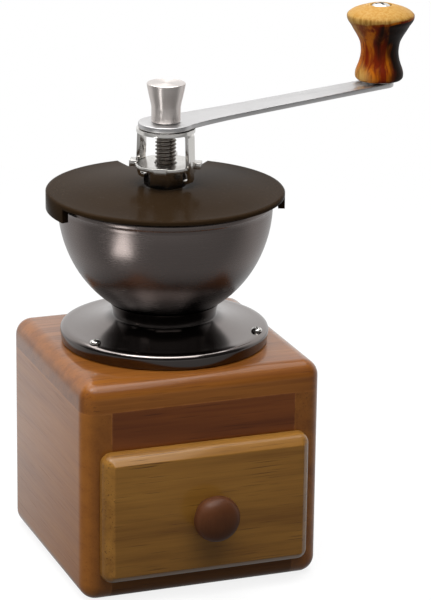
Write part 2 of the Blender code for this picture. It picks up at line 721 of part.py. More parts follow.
def bowl_radius(height):
    """Outer radius of the bowl's wall at a height."""
    centre = BOWL_RIM - BOWL_BEAD
    share = min((centre - height) / BOWL_CURVE_HEIGHT, 1)
    return BOWL_RADIUS * math.sqrt(1 - share * share)


def make_bowl():
    """A spun bowl with a rolled rim and a flat bottom that is clamped on the foot."""
    bead_low = BOWL_RIM - BOWL_BEAD_HEIGHT
    profile = []
    for down, out in BOWL_BEAD_SHARES:
        profile.append((BOWL_RADIUS + BOWL_BEAD * out, BOWL_RIM - BOWL_BEAD_HEIGHT * down))
    corner = BOWL_BOTTOM + BOWL_WALL / 2
    start = math.asin((BOWL_RIM - BOWL_BEAD - bead_low) / BOWL_CURVE_HEIGHT)
    end = math.asin((BOWL_RIM - BOWL_BEAD - corner) / BOWL_CURVE_HEIGHT)
    for k in range(BOWL_POINTS + 1):
        angle = between(start, end, k / BOWL_POINTS)
        height = BOWL_RIM - BOWL_BEAD - BOWL_CURVE_HEIGHT * math.sin(angle)
        profile.append((bowl_radius(height), height))
    profile += [(bowl_radius(corner) - BOWL_WALL, BOWL_BOTTOM), (NECK_BORE_RADIUS, BOWL_BOTTOM)]
    item = turned(profile, BOWL_STEPS)
    wall = item.modifiers.new("wall", "SOLIDIFY")
    wall.thickness = BOWL_WALL
    wall.offset = -1
    wall.use_even_offset = True
    for k in range(HOLDER_SCREWS):
        hole = cylinder(HOLDER_SCREW_RADIUS + THREAD_GAP, BOWL_BOTTOM - OVERRUN, BOWL_BOTTOM + OVERRUN,
                        holder_screw_place(k), 10)
        cut(item, as_cutter(hole, "bowl_screw_hole"))
    finish(item, "hopper_bowl", hopper_metal)


# Burr holder, burrs and what holds the inner burr

def make_holder():
    outer = NECK_BORE_RADIUS - GAP
    bore = HOLDER_BORE_RADIUS
    lip = bore - HOLDER_LIP_WIDTH
    lip_top = HOLDER_LOW + HOLDER_LIP
    profile = [(HOLDER_FLANGE_RADIUS, HOLDER_TOP), (HOLDER_FLANGE_RADIUS, HOLDER_SEAT), (outer, HOLDER_SEAT),
               (outer, HOLDER_LOW), (lip, HOLDER_LOW), (lip, lip_top), (bore, lip_top),
               (bore, HOLDER_TOP - HOLDER_FUNNEL), (bore + HOLDER_FUNNEL, HOLDER_TOP)]
    item = turned(profile, 32, closed=True)
    for k in range(HOLDER_SCREWS):
        hole = cylinder(HOLDER_SCREW_RADIUS + THREAD_GAP, HOLDER_SEAT - OVERRUN, HOLDER_TOP + OVERRUN,
                        holder_screw_place(k), 10)
        cut(item, as_cutter(hole, "holder_screw_hole"))
    finish(item, "burr_holder", nylon)
    for k in range(HOLDER_SCREWS):
        item = headed_screw(HOLDER_TOP + GAP, FOOT_TOP - HOLDER_SCREW_DEPTH, HOLDER_SCREW_RADIUS,
                            HOLDER_SCREW_HEAD_RADIUS, HOLDER_SCREW_HEAD)
        item.location = (*holder_screw_place(k), 0)
        finish(item, f"holder_screw_{k + 1}", bright_steel)


def toothed_cone(low_radius, high_radius, low, high, inward):
    """A cone whose side is cut into slanting teeth that fade out towards the fine end."""
    count = BURR_TEETH * len(BURR_TOOTH_SHARES)
    work = bmesh.new()
    layers = []
    for k in range(BURR_RINGS + 1):
        share = k / BURR_RINGS
        depth = BURR_TOOTH_DEPTH * share * (1 if inward else -1)
        base = between(low_radius, high_radius, share)
        layer = []
        for j in range(count):
            angle = 2 * math.pi * j / count + BURR_TWIST * share
            radius = base + depth * BURR_TOOTH_SHARES[j % len(BURR_TOOTH_SHARES)]
            spot = (radius * math.cos(angle), radius * math.sin(angle), between(low, high, share))
            layer.append(work.verts.new(spot))
        layers.append(layer)
    for lower, upper in zip(layers[:-1], layers[1:]):
        for j in range(count):
            n = (j + 1) % count
            work.faces.new((lower[j], lower[n], upper[n], upper[j]))
    work.faces.new(reversed(layers[0]))
    work.faces.new(layers[-1])
    bmesh.ops.recalc_face_normals(work, faces=work.faces)
    mesh = bpy.data.meshes.new("toothed_cone")
    work.to_mesh(mesh)
    work.free()
    return mesh_object("toothed_cone", mesh)


def make_burrs(drive):
    ring = cylinder(HOLDER_BORE_RADIUS - GAP, BURR_BOTTOM, BURR_TOP, sides=32)
    slope = (OUTER_BURR_HIGH_RADIUS - OUTER_BURR_LOW_RADIUS) / BURR_HEIGHT
    hollow = toothed_cone(OUTER_BURR_LOW_RADIUS - slope * OVERRUN, OUTER_BURR_HIGH_RADIUS + slope * OVERRUN,
                          BURR_BOTTOM - OVERRUN, BURR_TOP + OVERRUN, True)
    cut(ring, as_cutter(hollow, "outer_burr_hollow"))
    finish(ring, "outer_burr", ceramic)
    cone = toothed_cone(OUTER_BURR_LOW_RADIUS - BURR_RUN_GAP, INNER_BURR_HIGH_RADIUS, BURR_BOTTOM, BURR_TOP,
                        False)
    bore = cylinder(SHAFT_LOW_RADIUS + THREAD_GAP, BURR_BOTTOM - OVERRUN, BURR_TOP + OVERRUN, sides=16)
    cut(cone, as_cutter(bore, "inner_burr_bore"))
    finish(cone, "inner_burr", ceramic, drive)


def make_burr_fixings(drive):
    bore = SHAFT_LOW_RADIUS + THREAD_GAP
    ring = washer(bore, BURR_WASHER_RADIUS, BURR_WASHER_TOP - BURR_WASHER, BURR_WASHER_TOP)
    finish(ring, "burr_washer", bright_steel, drive)
    low = BURR_NUT_TOP - BURR_NUT_HEIGHT
    nut = plate(circle(BURR_NUT_RADIUS, 6), BURR_NUT_HEIGHT, low, [circle(bore, 16)])
    finish(nut, "burr_nut", bright_steel, drive)


# Shaft and spring

def make_shaft(drive):
    """Plain and collared below, threaded in the middle, with two flats at its top."""
    shaft_end = STOPPER_SEAT + SHAFT_TOP_LENGTH
    profile = [(0, shaft_end), (SHAFT_TOP_RADIUS, shaft_end), (SHAFT_TOP_RADIUS, STOPPER_SEAT)]
    for k in range(THREAD_TURNS):
        crest = STOPPER_SEAT - k * THREAD_PITCH
        profile.append((THREAD_RADIUS, crest))
        profile.append((THREAD_RADIUS - THREAD_DEPTH, crest - THREAD_PITCH / 2))
    collar_low = COLLAR_TOP - SHAFT_COLLAR_HEIGHT
    profile += [(SHAFT_RADIUS, THREAD_BOTTOM), (SHAFT_RADIUS, COLLAR_TOP), (SHAFT_COLLAR_RADIUS, COLLAR_TOP),
                (SHAFT_COLLAR_RADIUS, collar_low), (SHAFT_RADIUS, collar_low), (SHAFT_RADIUS, SHOULDER),
                (SHAFT_LOW_RADIUS, SHOULDER), (SHAFT_LOW_RADIUS, SHAFT_BOTTOM), (0, SHAFT_BOTTOM)]
    item = turned(profile, 16)
    for side in (-1, 1):
        near = side * SHAFT_FLAT / 2
        far = side * (SHAFT_TOP_RADIUS + OVERRUN)
        flat = block((-THREAD_RADIUS - OVERRUN, min(near, far), STOPPER_SEAT),
                     (THREAD_RADIUS + OVERRUN, max(near, far), shaft_end + OVERRUN))
        flat.parent = drive
        cut(item, as_cutter(flat, "shaft_flat"))
    finish(item, "shaft", dark_steel, drive)


def make_spring_seat(drive):
    ring = washer(SHAFT_RADIUS + GAP, SPRING_SEAT_RADIUS, COLLAR_TOP + GAP, SPRING_SEAT_TOP)
    finish(ring, "spring_seat", bright_steel, drive)


def make_spring():
    """One unbroken wire: a straight end, the curls, and a straight end."""
    low = SPRING_SEAT_TOP + GAP
    high = BRIDGE_BOTTOM - GAP
    wire = 2 * SPRING_WIRE_RADIUS
    count = SPRING_CURLS * SPRING_CURL_POINTS
    points = [(SPRING_RADIUS, 0, low)]
    for k in range(count + 1):
        angle = 2 * math.pi * k / SPRING_CURL_POINTS
        height = between(low + wire, high - wire, k / count)
        points.append((SPRING_RADIUS * math.cos(angle), SPRING_RADIUS * math.sin(angle), height))
    points.append((SPRING_RADIUS, 0, high))
    curve = bpy.data.curves.new("spring", "CURVE")
    curve.dimensions = "3D"
    curve.bevel_depth = SPRING_WIRE_RADIUS
    curve.bevel_resolution = 1
    curve.use_fill_caps = True
    spline = curve.splines.new("POLY")
    spline.points.add(len(points) - 1)
    for point, spot in zip(spline.points, points):
        point.co = (*spot, 1)
    item = bpy.data.objects.new("spring", curve)
    bpy.context.scene.collection.objects.link(item)
    finish(item, "spring", spring_steel)
    print_least_gap(points)


def print_least_gap(points):
    """Prints the least gap between neighbouring curls, measured on the wire's points."""
    spots = [Vector(point) for point in points]
    apart = SPRING_CURL_POINTS // 2
    least = min((a - b).length for k, a in enumerate(spots) for b in spots[k + apart:])
    print(f"spring: least gap between curls {1000 * (least - 2 * SPRING_WIRE_RADIUS):.2f} mm")


# Bridge, bush and washer

def make_bridge():
    """A steel strip across the bowl, with its ends bent down and welded to the wall."""
    half_width = BRIDGE_WIDTH / 2
    middle_line = BRIDGE_TOP - BRIDGE_THICKNESS / 2
    tab_low = BRIDGE_TOP - BRIDGE_TAB
    reach_high = math.sqrt((bowl_radius(BRIDGE_TOP) - BOWL_WALL - GAP) ** 2 - half_width ** 2)
    reach_low = math.sqrt((bowl_radius(tab_low) - BOWL_WALL - GAP) ** 2 - half_width ** 2)
    inset = BRIDGE_THICKNESS / 2
    path = [(-reach_low + inset, tab_low), (-reach_high + 2 * inset, middle_line),
            (reach_high - 2 * inset, middle_line), (reach_low - inset, tab_low)]
    outline = strip(bend(path, (BRIDGE_BEND, BRIDGE_BEND)), BRIDGE_THICKNESS)
    item = plate(outline, BRIDGE_WIDTH, -half_width, matrix=UPRIGHT)
    middle = cylinder(BRIDGE_MIDDLE_RADIUS, BRIDGE_BOTTOM, BRIDGE_TOP, sides=32)
    cut(item, as_cutter(middle, "bridge_middle"), "UNION")
    hole = cylinder(BUSH_RADIUS + GAP, BRIDGE_BOTTOM - OVERRUN, BRIDGE_TOP + OVERRUN)
    cut(item, as_cutter(hole, "bridge_hole"))
    item.rotation_euler = (0, 0, BRIDGE_AZIMUTH)
    finish(item, "bridge", bright_steel)


def make_bush():
    bore = SHAFT_RADIUS + GAP
    flange_low = BRIDGE_TOP + GAP
    low = BRIDGE_BOTTOM - BUSH_LENGTH
    profile = [(BUSH_FLANGE_RADIUS, BUSH_TOP), (BUSH_FLANGE_RADIUS, flange_low), (BUSH_RADIUS, flange_low),
               (BUSH_RADIUS, low), (bore, low), (bore, BUSH_TOP)]
    finish(turned(profile, 24, closed=True), "upper_bush", nylon)
    ring = washer(SHAFT_RADIUS + GAP, THRUST_WASHER_RADIUS, BUSH_TOP + GAP, THRUST_TOP)
    finish(ring, "thrust_washer", brass)


# Adjusting nut and stopper

def stopper_leg_radius(height):
    """Radius of the middle of a stopper's leg, which leans outwards to its foot."""
    return STOPPER_LEG_RADIUS + STOPPER_SPLAY * (STOPPER_TOP - height) / STOPPER_HEIGHT


def make_adjusting_nut(crank):
    """A ring with lugs and two notches for the stopper, on a hexagonal boss."""
    origin = empty("adjusting_nut_origin", (0, 0, 0), NUT_LUG_AZIMUTH - CRANK_AZIMUTH, crank)
    nut = cylinder(NUT_RING_RADIUS, NUT_RING_BOTTOM, NUT_RING_BOTTOM + NUT_RING, sides=40)
    boss = plate(circle(NUT_BOSS_FLATS / math.sqrt(3), 6), NUT_BOSS_HEIGHT + NUT_RING / 2, NUT_BOTTOM)
    boss.data.transform(Matrix.Rotation(NUT_BOSS_TURN, 4, "Z"))
    boss.parent = origin
    cut(nut, as_cutter(boss, "nut_boss"), "UNION")
    half = NUT_LUG_WIDTH / 2
    for k in range(NUT_LUGS):
        lug = block((NUT_RING_RADIUS - NUT_LUG_ROOT, -half, NUT_RING_BOTTOM),
                    (NUT_LUG_RADIUS, half, NUT_RING_BOTTOM + NUT_LUG_HEIGHT))
        lug.data.transform(Matrix.Rotation(2 * math.pi * k / NUT_LUGS, 4, "Z"))
        lug.parent = origin
        cut(nut, as_cutter(lug, "nut_lug"), "UNION")
    bore = cylinder(THREAD_RADIUS + THREAD_GAP, NUT_BOTTOM - OVERRUN, NUT_RING_BOTTOM + NUT_RING + OVERRUN)
    cut(nut, as_cutter(bore, "nut_bore"))
    half = STOPPER_WIDTH / 2 + STOPPER_RUN_GAP
    floor = stopper_leg_radius(NUT_RING_BOTTOM + NUT_RING) - STOPPER_STRIP / 2 - STOPPER_RUN_GAP
    for side in (0, math.pi):
        notch = block((floor, -half, NUT_RING_BOTTOM - OVERRUN),
                      (NUT_LUG_RADIUS + OVERRUN, half, NUT_RING_BOTTOM + NUT_RING + OVERRUN))
        notch.data.transform(Matrix.Rotation(STOPPER_AZIMUTH - NUT_LUG_AZIMUTH + side, 4, "Z"))
        notch.parent = origin
        cut(nut, as_cutter(notch, "nut_notch"))
    finish(nut, "adjusting_nut", bright_steel, origin)


def make_stopper(drive):
    """A strip bent over the nut into two legs with hooks, and a disc on top of it."""
    origin = empty("stopper_origin", (0, 0, 0), STOPPER_AZIMUTH - CRANK_AZIMUTH, drive)
    half = STOPPER_STRIP / 2
    top = STOPPER_TOP - half
    low = STOPPER_TOP - STOPPER_HEIGHT + half
    shoulder = stopper_leg_radius(top)
    foot = stopper_leg_radius(low)
    toe = foot - STOPPER_HOOK
    path = [(-toe, low), (-foot, low), (-shoulder, top), (shoulder, top), (foot, low), (toe, low)]
    outline = strip(bend(path, (STOPPER_STRIP, STOPPER_BEND, STOPPER_BEND, STOPPER_STRIP)), STOPPER_STRIP)
    item = plate(outline, STOPPER_WIDTH, -STOPPER_WIDTH / 2, matrix=UPRIGHT)
    disc = cylinder(STOPPER_DISC_RADIUS, STOPPER_BOTTOM, STOPPER_TOP, sides=36)
    disc.parent = origin
    cut(item, as_cutter(disc, "stopper_disc"), "UNION")
    narrow_top = NUT_RING_BOTTOM - STOPPER_HOOK_DROP
    for side in (-1, 1):
        near = side * STOPPER_HOOK_WIDTH / 2
        far = side * (STOPPER_WIDTH + OVERRUN)
        waste = block((-foot - OVERRUN, min(near, far), low - OVERRUN),
                      (foot + OVERRUN, max(near, far), narrow_top))
        waste.parent = origin
        cut(item, as_cutter(waste, "stopper_waste"))
    hole = plate(two_flats(SHAFT_TOP_RADIUS + THREAD_GAP, SHAFT_FLAT / 2 + THREAD_GAP),
                 STOPPER_STRIP + 2 * OVERRUN, STOPPER_BOTTOM - OVERRUN)
    hole.parent = drive
    cut(item, as_cutter(hole, "stopper_hole"))
    finish(item, "stopper_cage", bright_steel, origin)


# Crank arm, cap nut, grip and spindle

def crank_outline():
    """A round hub that runs into a slim tapering arm with a round end."""
    side = [(CRANK_RADIUS * along, CRANK_HUB_RADIUS * half) for along, half in CRANK_SIDE_SHARES]
    other_side = [(x, -y) for x, y in side]
    hub = arc(CRANK_HUB_RADIUS, CRANK_HUB_TURN, 2 * math.pi - CRANK_HUB_TURN, 20)
    end = arc(CRANK_END_RADIUS, -CRANK_END_TURN, CRANK_END_TURN, 12, (CRANK_RADIUS, 0))
    return hub + other_side + end + side[::-1]


def make_crank_arm(drive):
    keyhole = two_flats(SHAFT_TOP_RADIUS + THREAD_GAP, SHAFT_FLAT / 2 + THREAD_GAP)
    pin_hole = circle(SPINDLE_RADIUS + THREAD_GAP, 16, (CRANK_RADIUS, 0))
    item = plate(crank_outline(), CRANK_THICKNESS, CRANK_BOTTOM, [keyhole, pin_hole])
    finish(item, "crank_arm", brushed_steel, drive)


def make_cap_nut(drive):
    top = CAP_BOTTOM + CAP_HEIGHT
    flare_low = CAP_BOTTOM + CAP_STRAIGHT
    bore = SHAFT_TOP_RADIUS + THREAD_GAP
    bore_end = CAP_BOTTOM + CAP_BORE_DEPTH
    profile = [(0, top), (CAP_TOP_RADIUS - CAP_EDGE, top)]
    for up, out in CAP_FLARE_SHARES:
        profile.append((between(CAP_RADIUS, CAP_TOP_RADIUS, out), between(flare_low, top - CAP_EDGE, up)))
    profile += [(CAP_RADIUS, CAP_BOTTOM), (bore, CAP_BOTTOM), (bore, bore_end), (0, bore_end)]
    finish(turned(profile, 32), "cap_nut", brushed_steel, drive)


def make_grip(drive):
    origin = empty("grip_origin", (CRANK_RADIUS, 0, 0), parent=drive)
    bore = SPINDLE_RADIUS + THREAD_GAP
    recess = SPINDLE_SCREW_HEAD_RADIUS + THREAD_GAP
    floor = GRIP_TOP - GRIP_RECESS_DEPTH
    profile = [(radius * GRIP_RADIUS, GRIP_BOTTOM + height * GRIP_HEIGHT) for height, radius in GRIP_SHARES]
    profile += [(bore, GRIP_BOTTOM), (bore, floor), (recess, floor)]
    grip = turned(profile, 28, closed=True)
    finish(grip, "crank_knob", grip_wood, origin)
    ring = washer(bore, GRIP_WASHER_RADIUS, CRANK_TOP + GAP, CRANK_TOP + GAP + GRIP_WASHER)
    finish(ring, "knob_washer", bright_steel, origin)
    make_spindle(origin, floor)


def make_spindle(origin, floor):
    """A pin riveted in the arm, and the screw in its end that keeps the grip on."""
    end = floor - SPINDLE_TOP_GAP
    hole = SPINDLE_SCREW_RADIUS + THREAD_GAP
    hole_end = end - SPINDLE_SCREW_LENGTH
    profile = [(0, hole_end), (hole, hole_end), (hole, end), (SPINDLE_RADIUS, end),
               (SPINDLE_RADIUS, CRANK_BOTTOM), (0, CRANK_BOTTOM)]
    finish(turned(profile, 20), "knob_spindle", bright_steel, origin)
    screw = headed_screw(floor + GAP, hole_end + GAP, SPINDLE_SCREW_RADIUS, SPINDLE_SCREW_HEAD_RADIUS,
                         SPINDLE_SCREW_HEAD, 20)
    finish(screw, "knob_screw", bright_steel, origin)


# Lid

def sector(inner, outer, start, end, low, high, name):
    """A cutter that removes a stretch of ring between two azimuths."""
    outline = arc(outer, start, end, 16) + arc(inner, end, start, 16)
    return as_cutter(plate(outline, high - low, low), name)


def make_lid():
    """A turned lid whose skirt is cut away front and back, with a slot to its middle."""
    edge_low = LID_TOP - LID_PLATE
    skirt_low = LID_TOP - LID_SKIRT
    skirt_inner = LID_RADIUS - LID_SKIRT_WALL
    rib_outer = BOWL_RADIUS + BOWL_BEAD
    rib_low = edge_low - LID_RIB_HEIGHT
    rib_inner = rib_outer - LID_RIB_WIDTH
    profile = [(LID_RADIUS * out, LID_TOP + LID_RISE * up) for out, up in LID_CROWN_SHARES]
    profile += [(LID_RADIUS, LID_TOP - LID_EDGE), (LID_RADIUS, skirt_low), (skirt_inner, skirt_low),
                (skirt_inner, edge_low), (rib_outer, edge_low), (rib_outer, rib_low), (rib_inner, rib_low),
                (rib_inner, edge_low), (profile[0][0], edge_low)]
    item = turned(profile, LID_STEPS, closed=True)
    (left_start, left_end), (right_start, right_end) = LID_SKIRT_AZIMUTHS
    reach = LID_RADIUS + OVERRUN
    inner = (skirt_inner + rib_outer) / 2
    full = 2 * math.pi
    low = skirt_low - OVERRUN
    cut(item, sector(inner, reach, left_end, right_start + full, low, edge_low, "skirt_front"))
    cut(item, sector(inner, reach, right_end, left_start, low, edge_low, "skirt_back"))
    half_slot = LID_SLOT_WIDTH / 2
    half_notch = LID_NOTCH_WIDTH / 2
    spread = (reach - LID_NOTCH_DISTANCE) * LID_NOTCH_SPREAD / 2
    outline = [(0, -half_slot), (LID_NOTCH_DISTANCE, -half_slot), (LID_NOTCH_DISTANCE, -half_notch),
               (reach, -half_notch - spread), (reach, half_notch + spread), (LID_NOTCH_DISTANCE, half_notch),
               (LID_NOTCH_DISTANCE, half_slot), (0, half_slot)]
    slot = plate(outline, LID_TOP + LID_RISE + OVERRUN - low, low)
    slot.data.transform(Matrix.Rotation(LID_SLOT_AZIMUTH, 4, "Z"))
    cut(item, as_cutter(slot, "lid_slot"))
    finish(item, "lid", lid_plastic)


def main():
    make_box()
    make_drawer()
    make_foot()
    make_foot_screws()
    make_bowl()
    make_holder()
    crank = empty("crank_axis", (0, 0, 0), CRANK_AZIMUTH)
    make_burrs(crank)
    make_burr_fixings(crank)
    make_shaft(crank)
    make_spring_seat(crank)
    make_spring()
    make_bridge()
    make_bush()
    make_adjusting_nut(crank)
    make_stopper(crank)
    make_crank_arm(crank)
    make_cap_nut(crank)
    make_grip(crank)
    make_lid()


main()
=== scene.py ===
# A manual coffee grinder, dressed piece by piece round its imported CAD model.
# Metres, +Z up, on the floor under the crank's axis. The drawer opens towards -Y.
# Sizes that are read off a drawing are in millimetres, times MM.
import math

import bmesh
import bpy
from mathutils import Matrix, Vector


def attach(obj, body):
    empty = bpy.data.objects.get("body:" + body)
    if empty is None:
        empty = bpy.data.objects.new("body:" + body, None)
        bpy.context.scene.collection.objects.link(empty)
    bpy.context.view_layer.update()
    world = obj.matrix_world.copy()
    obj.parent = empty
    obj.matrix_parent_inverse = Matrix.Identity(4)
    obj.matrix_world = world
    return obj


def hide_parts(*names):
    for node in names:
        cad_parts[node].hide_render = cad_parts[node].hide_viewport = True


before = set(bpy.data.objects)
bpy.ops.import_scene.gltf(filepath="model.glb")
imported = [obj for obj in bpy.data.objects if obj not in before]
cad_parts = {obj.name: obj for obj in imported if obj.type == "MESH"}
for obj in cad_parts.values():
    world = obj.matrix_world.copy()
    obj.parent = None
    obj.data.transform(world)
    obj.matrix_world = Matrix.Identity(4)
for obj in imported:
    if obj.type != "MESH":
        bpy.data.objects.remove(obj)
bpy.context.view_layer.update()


# The glued box: five boards and a rail of oiled rubberwood, sanded round as one block.
# The top board lies over the others, and the front rail closes the box over the drawer.

MM = 0.001
BOX_LOW = (-49.75, -47.75, 0.0)
BOX_HIGH = (49.75, 47.75, 90.5)
BOX_ROUNDING = 6.8
BOARD_THICKNESS = 11.7
GLUE_LINE = 0.04


def clear_bench():
    """Leaves edit mode and deselects everything."""
    if bpy.context.mode != "OBJECT":
        bpy.ops.object.mode_set(mode="OBJECT")
    bpy.ops.object.select_all(action="DESELECT")


def take_up(*pieces):
    """Selects these pieces alone, the first one active."""
    clear_bench()
    for piece in pieces:
        piece.select_set(True)
    bpy.context.view_layer.objects.active = pieces[0]


def saw_block(name, low, high):
    """A sawn block between two corners, in millimetres."""
    clear_bench()
    low = Vector(low) * MM
    high = Vector(high) * MM
    bpy.ops.mesh.primitive_cube_add(size=1, location=(low + high) / 2, scale=high - low)
    bpy.ops.object.transform_apply(location=True, rotation=True, scale=True)
    bpy.context.object.name = name
    return bpy.context.object


def work_with(piece, kind, **settings):
    """Gives a piece a modifier and applies it."""
    take_up(piece)
    step = piece.modifiers.new(kind.lower(), kind)
    for setting, value in settings.items():
        setattr(step, setting, value)
    bpy.ops.object.modifier_apply(modifier=step.name)
    return piece


def round_edges(piece, radius, segments=3, degrees=40):
    """Takes the sharp edges off a piece."""
    return work_with(piece, "BEVEL", width=radius * MM, segments=segments, limit_method="ANGLE",
                     angle_limit=math.radians(degrees))


def drill(piece, *cutters, operation="DIFFERENCE"):
    """Cuts a piece with others, or joins them to it, and puts them away."""
    for cutter in cutters:
        work_with(piece, "BOOLEAN", object=cutter, operation=operation, solver="EXACT")
        bpy.data.objects.remove(cutter, do_unlink=True)
    return piece


def smooth_faces(piece, degrees=35):
    """Shades a piece smooth between its sharp edges."""
    take_up(piece)
    bpy.ops.object.shade_smooth_by_angle(angle=math.radians(degrees))
    return piece


def fit(piece, finish, body, slot, *nodes):
    """Puts a finished piece on its body in place of its CAD nodes."""
    piece.data.materials.clear()
    piece.data.materials.append(finish)
    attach(piece, body)
    if nodes:
        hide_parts(*nodes)


def box_board(name, *cuts):
    """One board of the sanded box: the whole rounded block, sawn off along planes."""
    board = saw_block(name, BOX_LOW, BOX_HIGH)
    work_with(board, "BEVEL", width=BOX_ROUNDING * MM, segments=10, limit_method="NONE")
    bpy.ops.object.mode_set(mode="EDIT")
    for place, away in cuts:
        bpy.ops.mesh.select_all(action="SELECT")
        bpy.ops.mesh.bisect(plane_co=Vector(place) * MM, plane_no=away, use_fill=True, clear_outer=True)
    bpy.ops.object.mode_set(mode="OBJECT")
    return smooth_faces(board)


def rod(name, radius, low, high, place=(0, 0), sides=48):
    """A plain upright rod between two heights."""
    clear_bench()
    bpy.ops.mesh.primitive_cylinder_add(vertices=sides, radius=radius * MM, depth=(high - low) * MM,
                                        location=(place[0] * MM, place[1] * MM, (low + high) / 2 * MM))
    bpy.ops.object.transform_apply(location=True, rotation=True, scale=True)
    bpy.context.object.name = name
    return bpy.context.object


def new_group(name, inputs, outputs):
    """A shader node group with named sockets."""
    tree = bpy.data.node_groups.new(name, "ShaderNodeTree")
    for label, kind, value in inputs:
        socket = tree.interface.new_socket(label, in_out="INPUT", socket_type="NodeSocket" + kind)
        if value is not None:
            socket.default_value = value
    for label, kind in outputs:
        tree.interface.new_socket(label, in_out="OUTPUT", socket_type="NodeSocket" + kind)
    return tree, tree.nodes.new("NodeGroupInput").outputs, tree.nodes.new("NodeGroupOutput").inputs


def feed(tree, node, sockets):
    """Gives each named socket of a node its value, or the output that feeds it."""
    for key, value in dict(sockets).items():
        if isinstance(value, bpy.types.NodeSocket):
            tree.links.new(value, node.inputs[key])
        else:
            node.inputs[key].default_value = value
    return node


def put(tree, kind, sockets=(), **settings):
    """Adds a shader node with its settings and its sockets filled."""
    made = tree.nodes.new("ShaderNode" + kind)
    for setting, value in settings.items():
        setattr(made, setting, value)
    return feed(tree, made, sockets)


def sums(tree, operation, *values, clamp=False):
    """One step of arithmetic on numbers or outputs."""
    return put(tree, "Math", dict(enumerate(values)), operation=operation, use_clamp=clamp).outputs[0]


def blended(tree, share, first, second):
    """Two colours mixed by a share."""
    return put(tree, "Mix", {0: share, 6: first, 7: second}, data_type="RGBA").outputs[2]


def step_between(tree, value, low, high):
    """Runs smoothly from 0 at the low value to 1 at the high one."""
    return put(tree, "MapRange", {0: value, 1: low, 2: high}, interpolation_type="SMOOTHSTEP").outputs[0]


def stretched(tree, vector, scale):
    """A vector drawn out along each axis."""
    return put(tree, "VectorMath", {0: vector, 1: scale}, operation="MULTIPLY").outputs[0]


def noise(tree, vector, scale, detail=2.0, roughness=0.5, distortion=0.0):
    return put(tree, "TexNoise", {"Vector": vector, "Scale": scale, "Detail": detail,
                                  "Roughness": roughness, "Distortion": distortion}).outputs[0]


def cloud(tree, vector, scales, *kind):
    """Noise with its own scale along each axis."""
    return noise(tree, stretched(tree, vector, scales), 1.0, *kind)


def axes_of(tree, vector):
    """A vector's three parts."""
    return put(tree, "SeparateXYZ", {0: vector}).outputs


def dot(tree, vector, other):
    """How far one vector runs along another."""
    return put(tree, "VectorMath", {0: vector, 1: other}, operation="DOT_PRODUCT").outputs["Value"]


def reach_of(tree, across, depth):
    """Distance from an axis, from the two distances square to it."""
    squares = [sums(tree, "MULTIPLY", part, part) for part in (across, depth)]
    return sums(tree, "SQRT", sums(tree, "ADD", *squares))


def build_wood_grain():
    """Grain along the vector's X: figure, growth rings, fibres and open pores."""
    tree, given, result = new_group(
        "wood_grain",
        [("Vector", "Vector", None), ("Normal", "Vector", None), ("Light", "Color", (1, 1, 1, 1)),
         ("Dark", "Color", (0, 0, 0, 1)), ("Pore", "Color", (0, 0, 0, 1)), ("Figure", "Float", 1.0),
         ("Pores", "Float", 1.0), ("Gloss", "Float", 0.35)],
        [("Color", "Color"), ("Roughness", "Float"), ("Height", "Float")])
    vector = given["Vector"]
    split = axes_of(tree, vector)
    warp = cloud(tree, vector, (7, 34, 34), 3, 0.5, 0.3)
    pith = reach_of(tree, sums(tree, "ADD", split[1], 0.071), sums(tree, "ADD", split[2], 0.046))
    ring = sums(tree, "MULTIPLY_ADD", pith, 900.0, sums(tree, "MULTIPLY", warp, 17.0))
    ring = sums(tree, "MULTIPLY_ADD", sums(tree, "SINE", ring), 0.5, 0.5)
    figure = step_between(tree, cloud(tree, vector, (9, 75, 75), 4, 0.55, 0.5), 0.36, 0.66)
    fibre = cloud(tree, vector, (45, 1500, 1500), 3, 0.6)
    streak = step_between(tree, cloud(tree, vector, (8, 420, 420), 3, 0.6, 0.3), 0.44, 0.74)
    pore = step_between(tree, cloud(tree, vector, (45, 1700, 1700), 1, 0.4), 0.62, 0.76)
    tone = sums(tree, "MULTIPLY_ADD", figure, 0.42, sums(tree, "MULTIPLY", ring, 0.18))
    tone = sums(tree, "MULTIPLY_ADD", streak, 0.30, tone)
    tone = sums(tree, "ADD", tone, sums(tree, "MULTIPLY_ADD", fibre, 0.5, -0.25))
    tone = sums(tree, "MULTIPLY", tone, given["Figure"], clamp=True)
    colour = blended(tree, tone, given["Light"], given["Dark"])
    pored = sums(tree, "MULTIPLY", pore, given["Pores"])
    colour = blended(tree, sums(tree, "MULTIPLY", pored, 0.5), colour, given["Pore"])
    end_on = sums(tree, "ABSOLUTE", axes_of(tree, given["Normal"])[0])
    end_grain = step_between(tree, end_on, 0.72, 0.98)
    colour = blended(tree, sums(tree, "MULTIPLY", end_grain, 0.2), colour, given["Pore"])
    tree.links.new(colour, result["Color"])
    rough = sums(tree, "MULTIPLY_ADD", fibre, 0.16, sums(tree, "SUBTRACT", given["Gloss"], 0.08))
    tree.links.new(sums(tree, "MULTIPLY_ADD", pored, 0.15, rough), result["Roughness"])
    tree.links.new(sums(tree, "MULTIPLY_ADD", pored, -1.0, sums(tree, "MULTIPLY", fibre, 0.35)),
                   result["Height"])
    return tree


WOOD_GRAIN = build_wood_grain()


def build_edge_wear_and_highlight():
    """Where a piece's edges turn paler, as rubbed wear and painted highlight: 1 on an edge, 0 on a flat face.
    """
    tree, given, result = new_group("edge_wear_and_highlight", [("Width", "Float", 0.0008), ("Breaks", "Float", 400.0)],
                                    [("Mask", "Float")])
    rounded = put(tree, "Bevel", {"Radius": given["Width"]}, samples=4).outputs[0]
    flat = put(tree, "NewGeometry").outputs["Normal"]
    edge = step_between(tree, sums(tree, "SUBTRACT", 1.0, dot(tree, rounded, flat)), 0.004, 0.09)
    broken = noise(tree, put(tree, "TexCoord").outputs["Object"], given["Breaks"], 3.0)
    tree.links.new(sums(tree, "MULTIPLY", edge, step_between(tree, broken, 0.32, 0.62)), result["Mask"])
    return tree


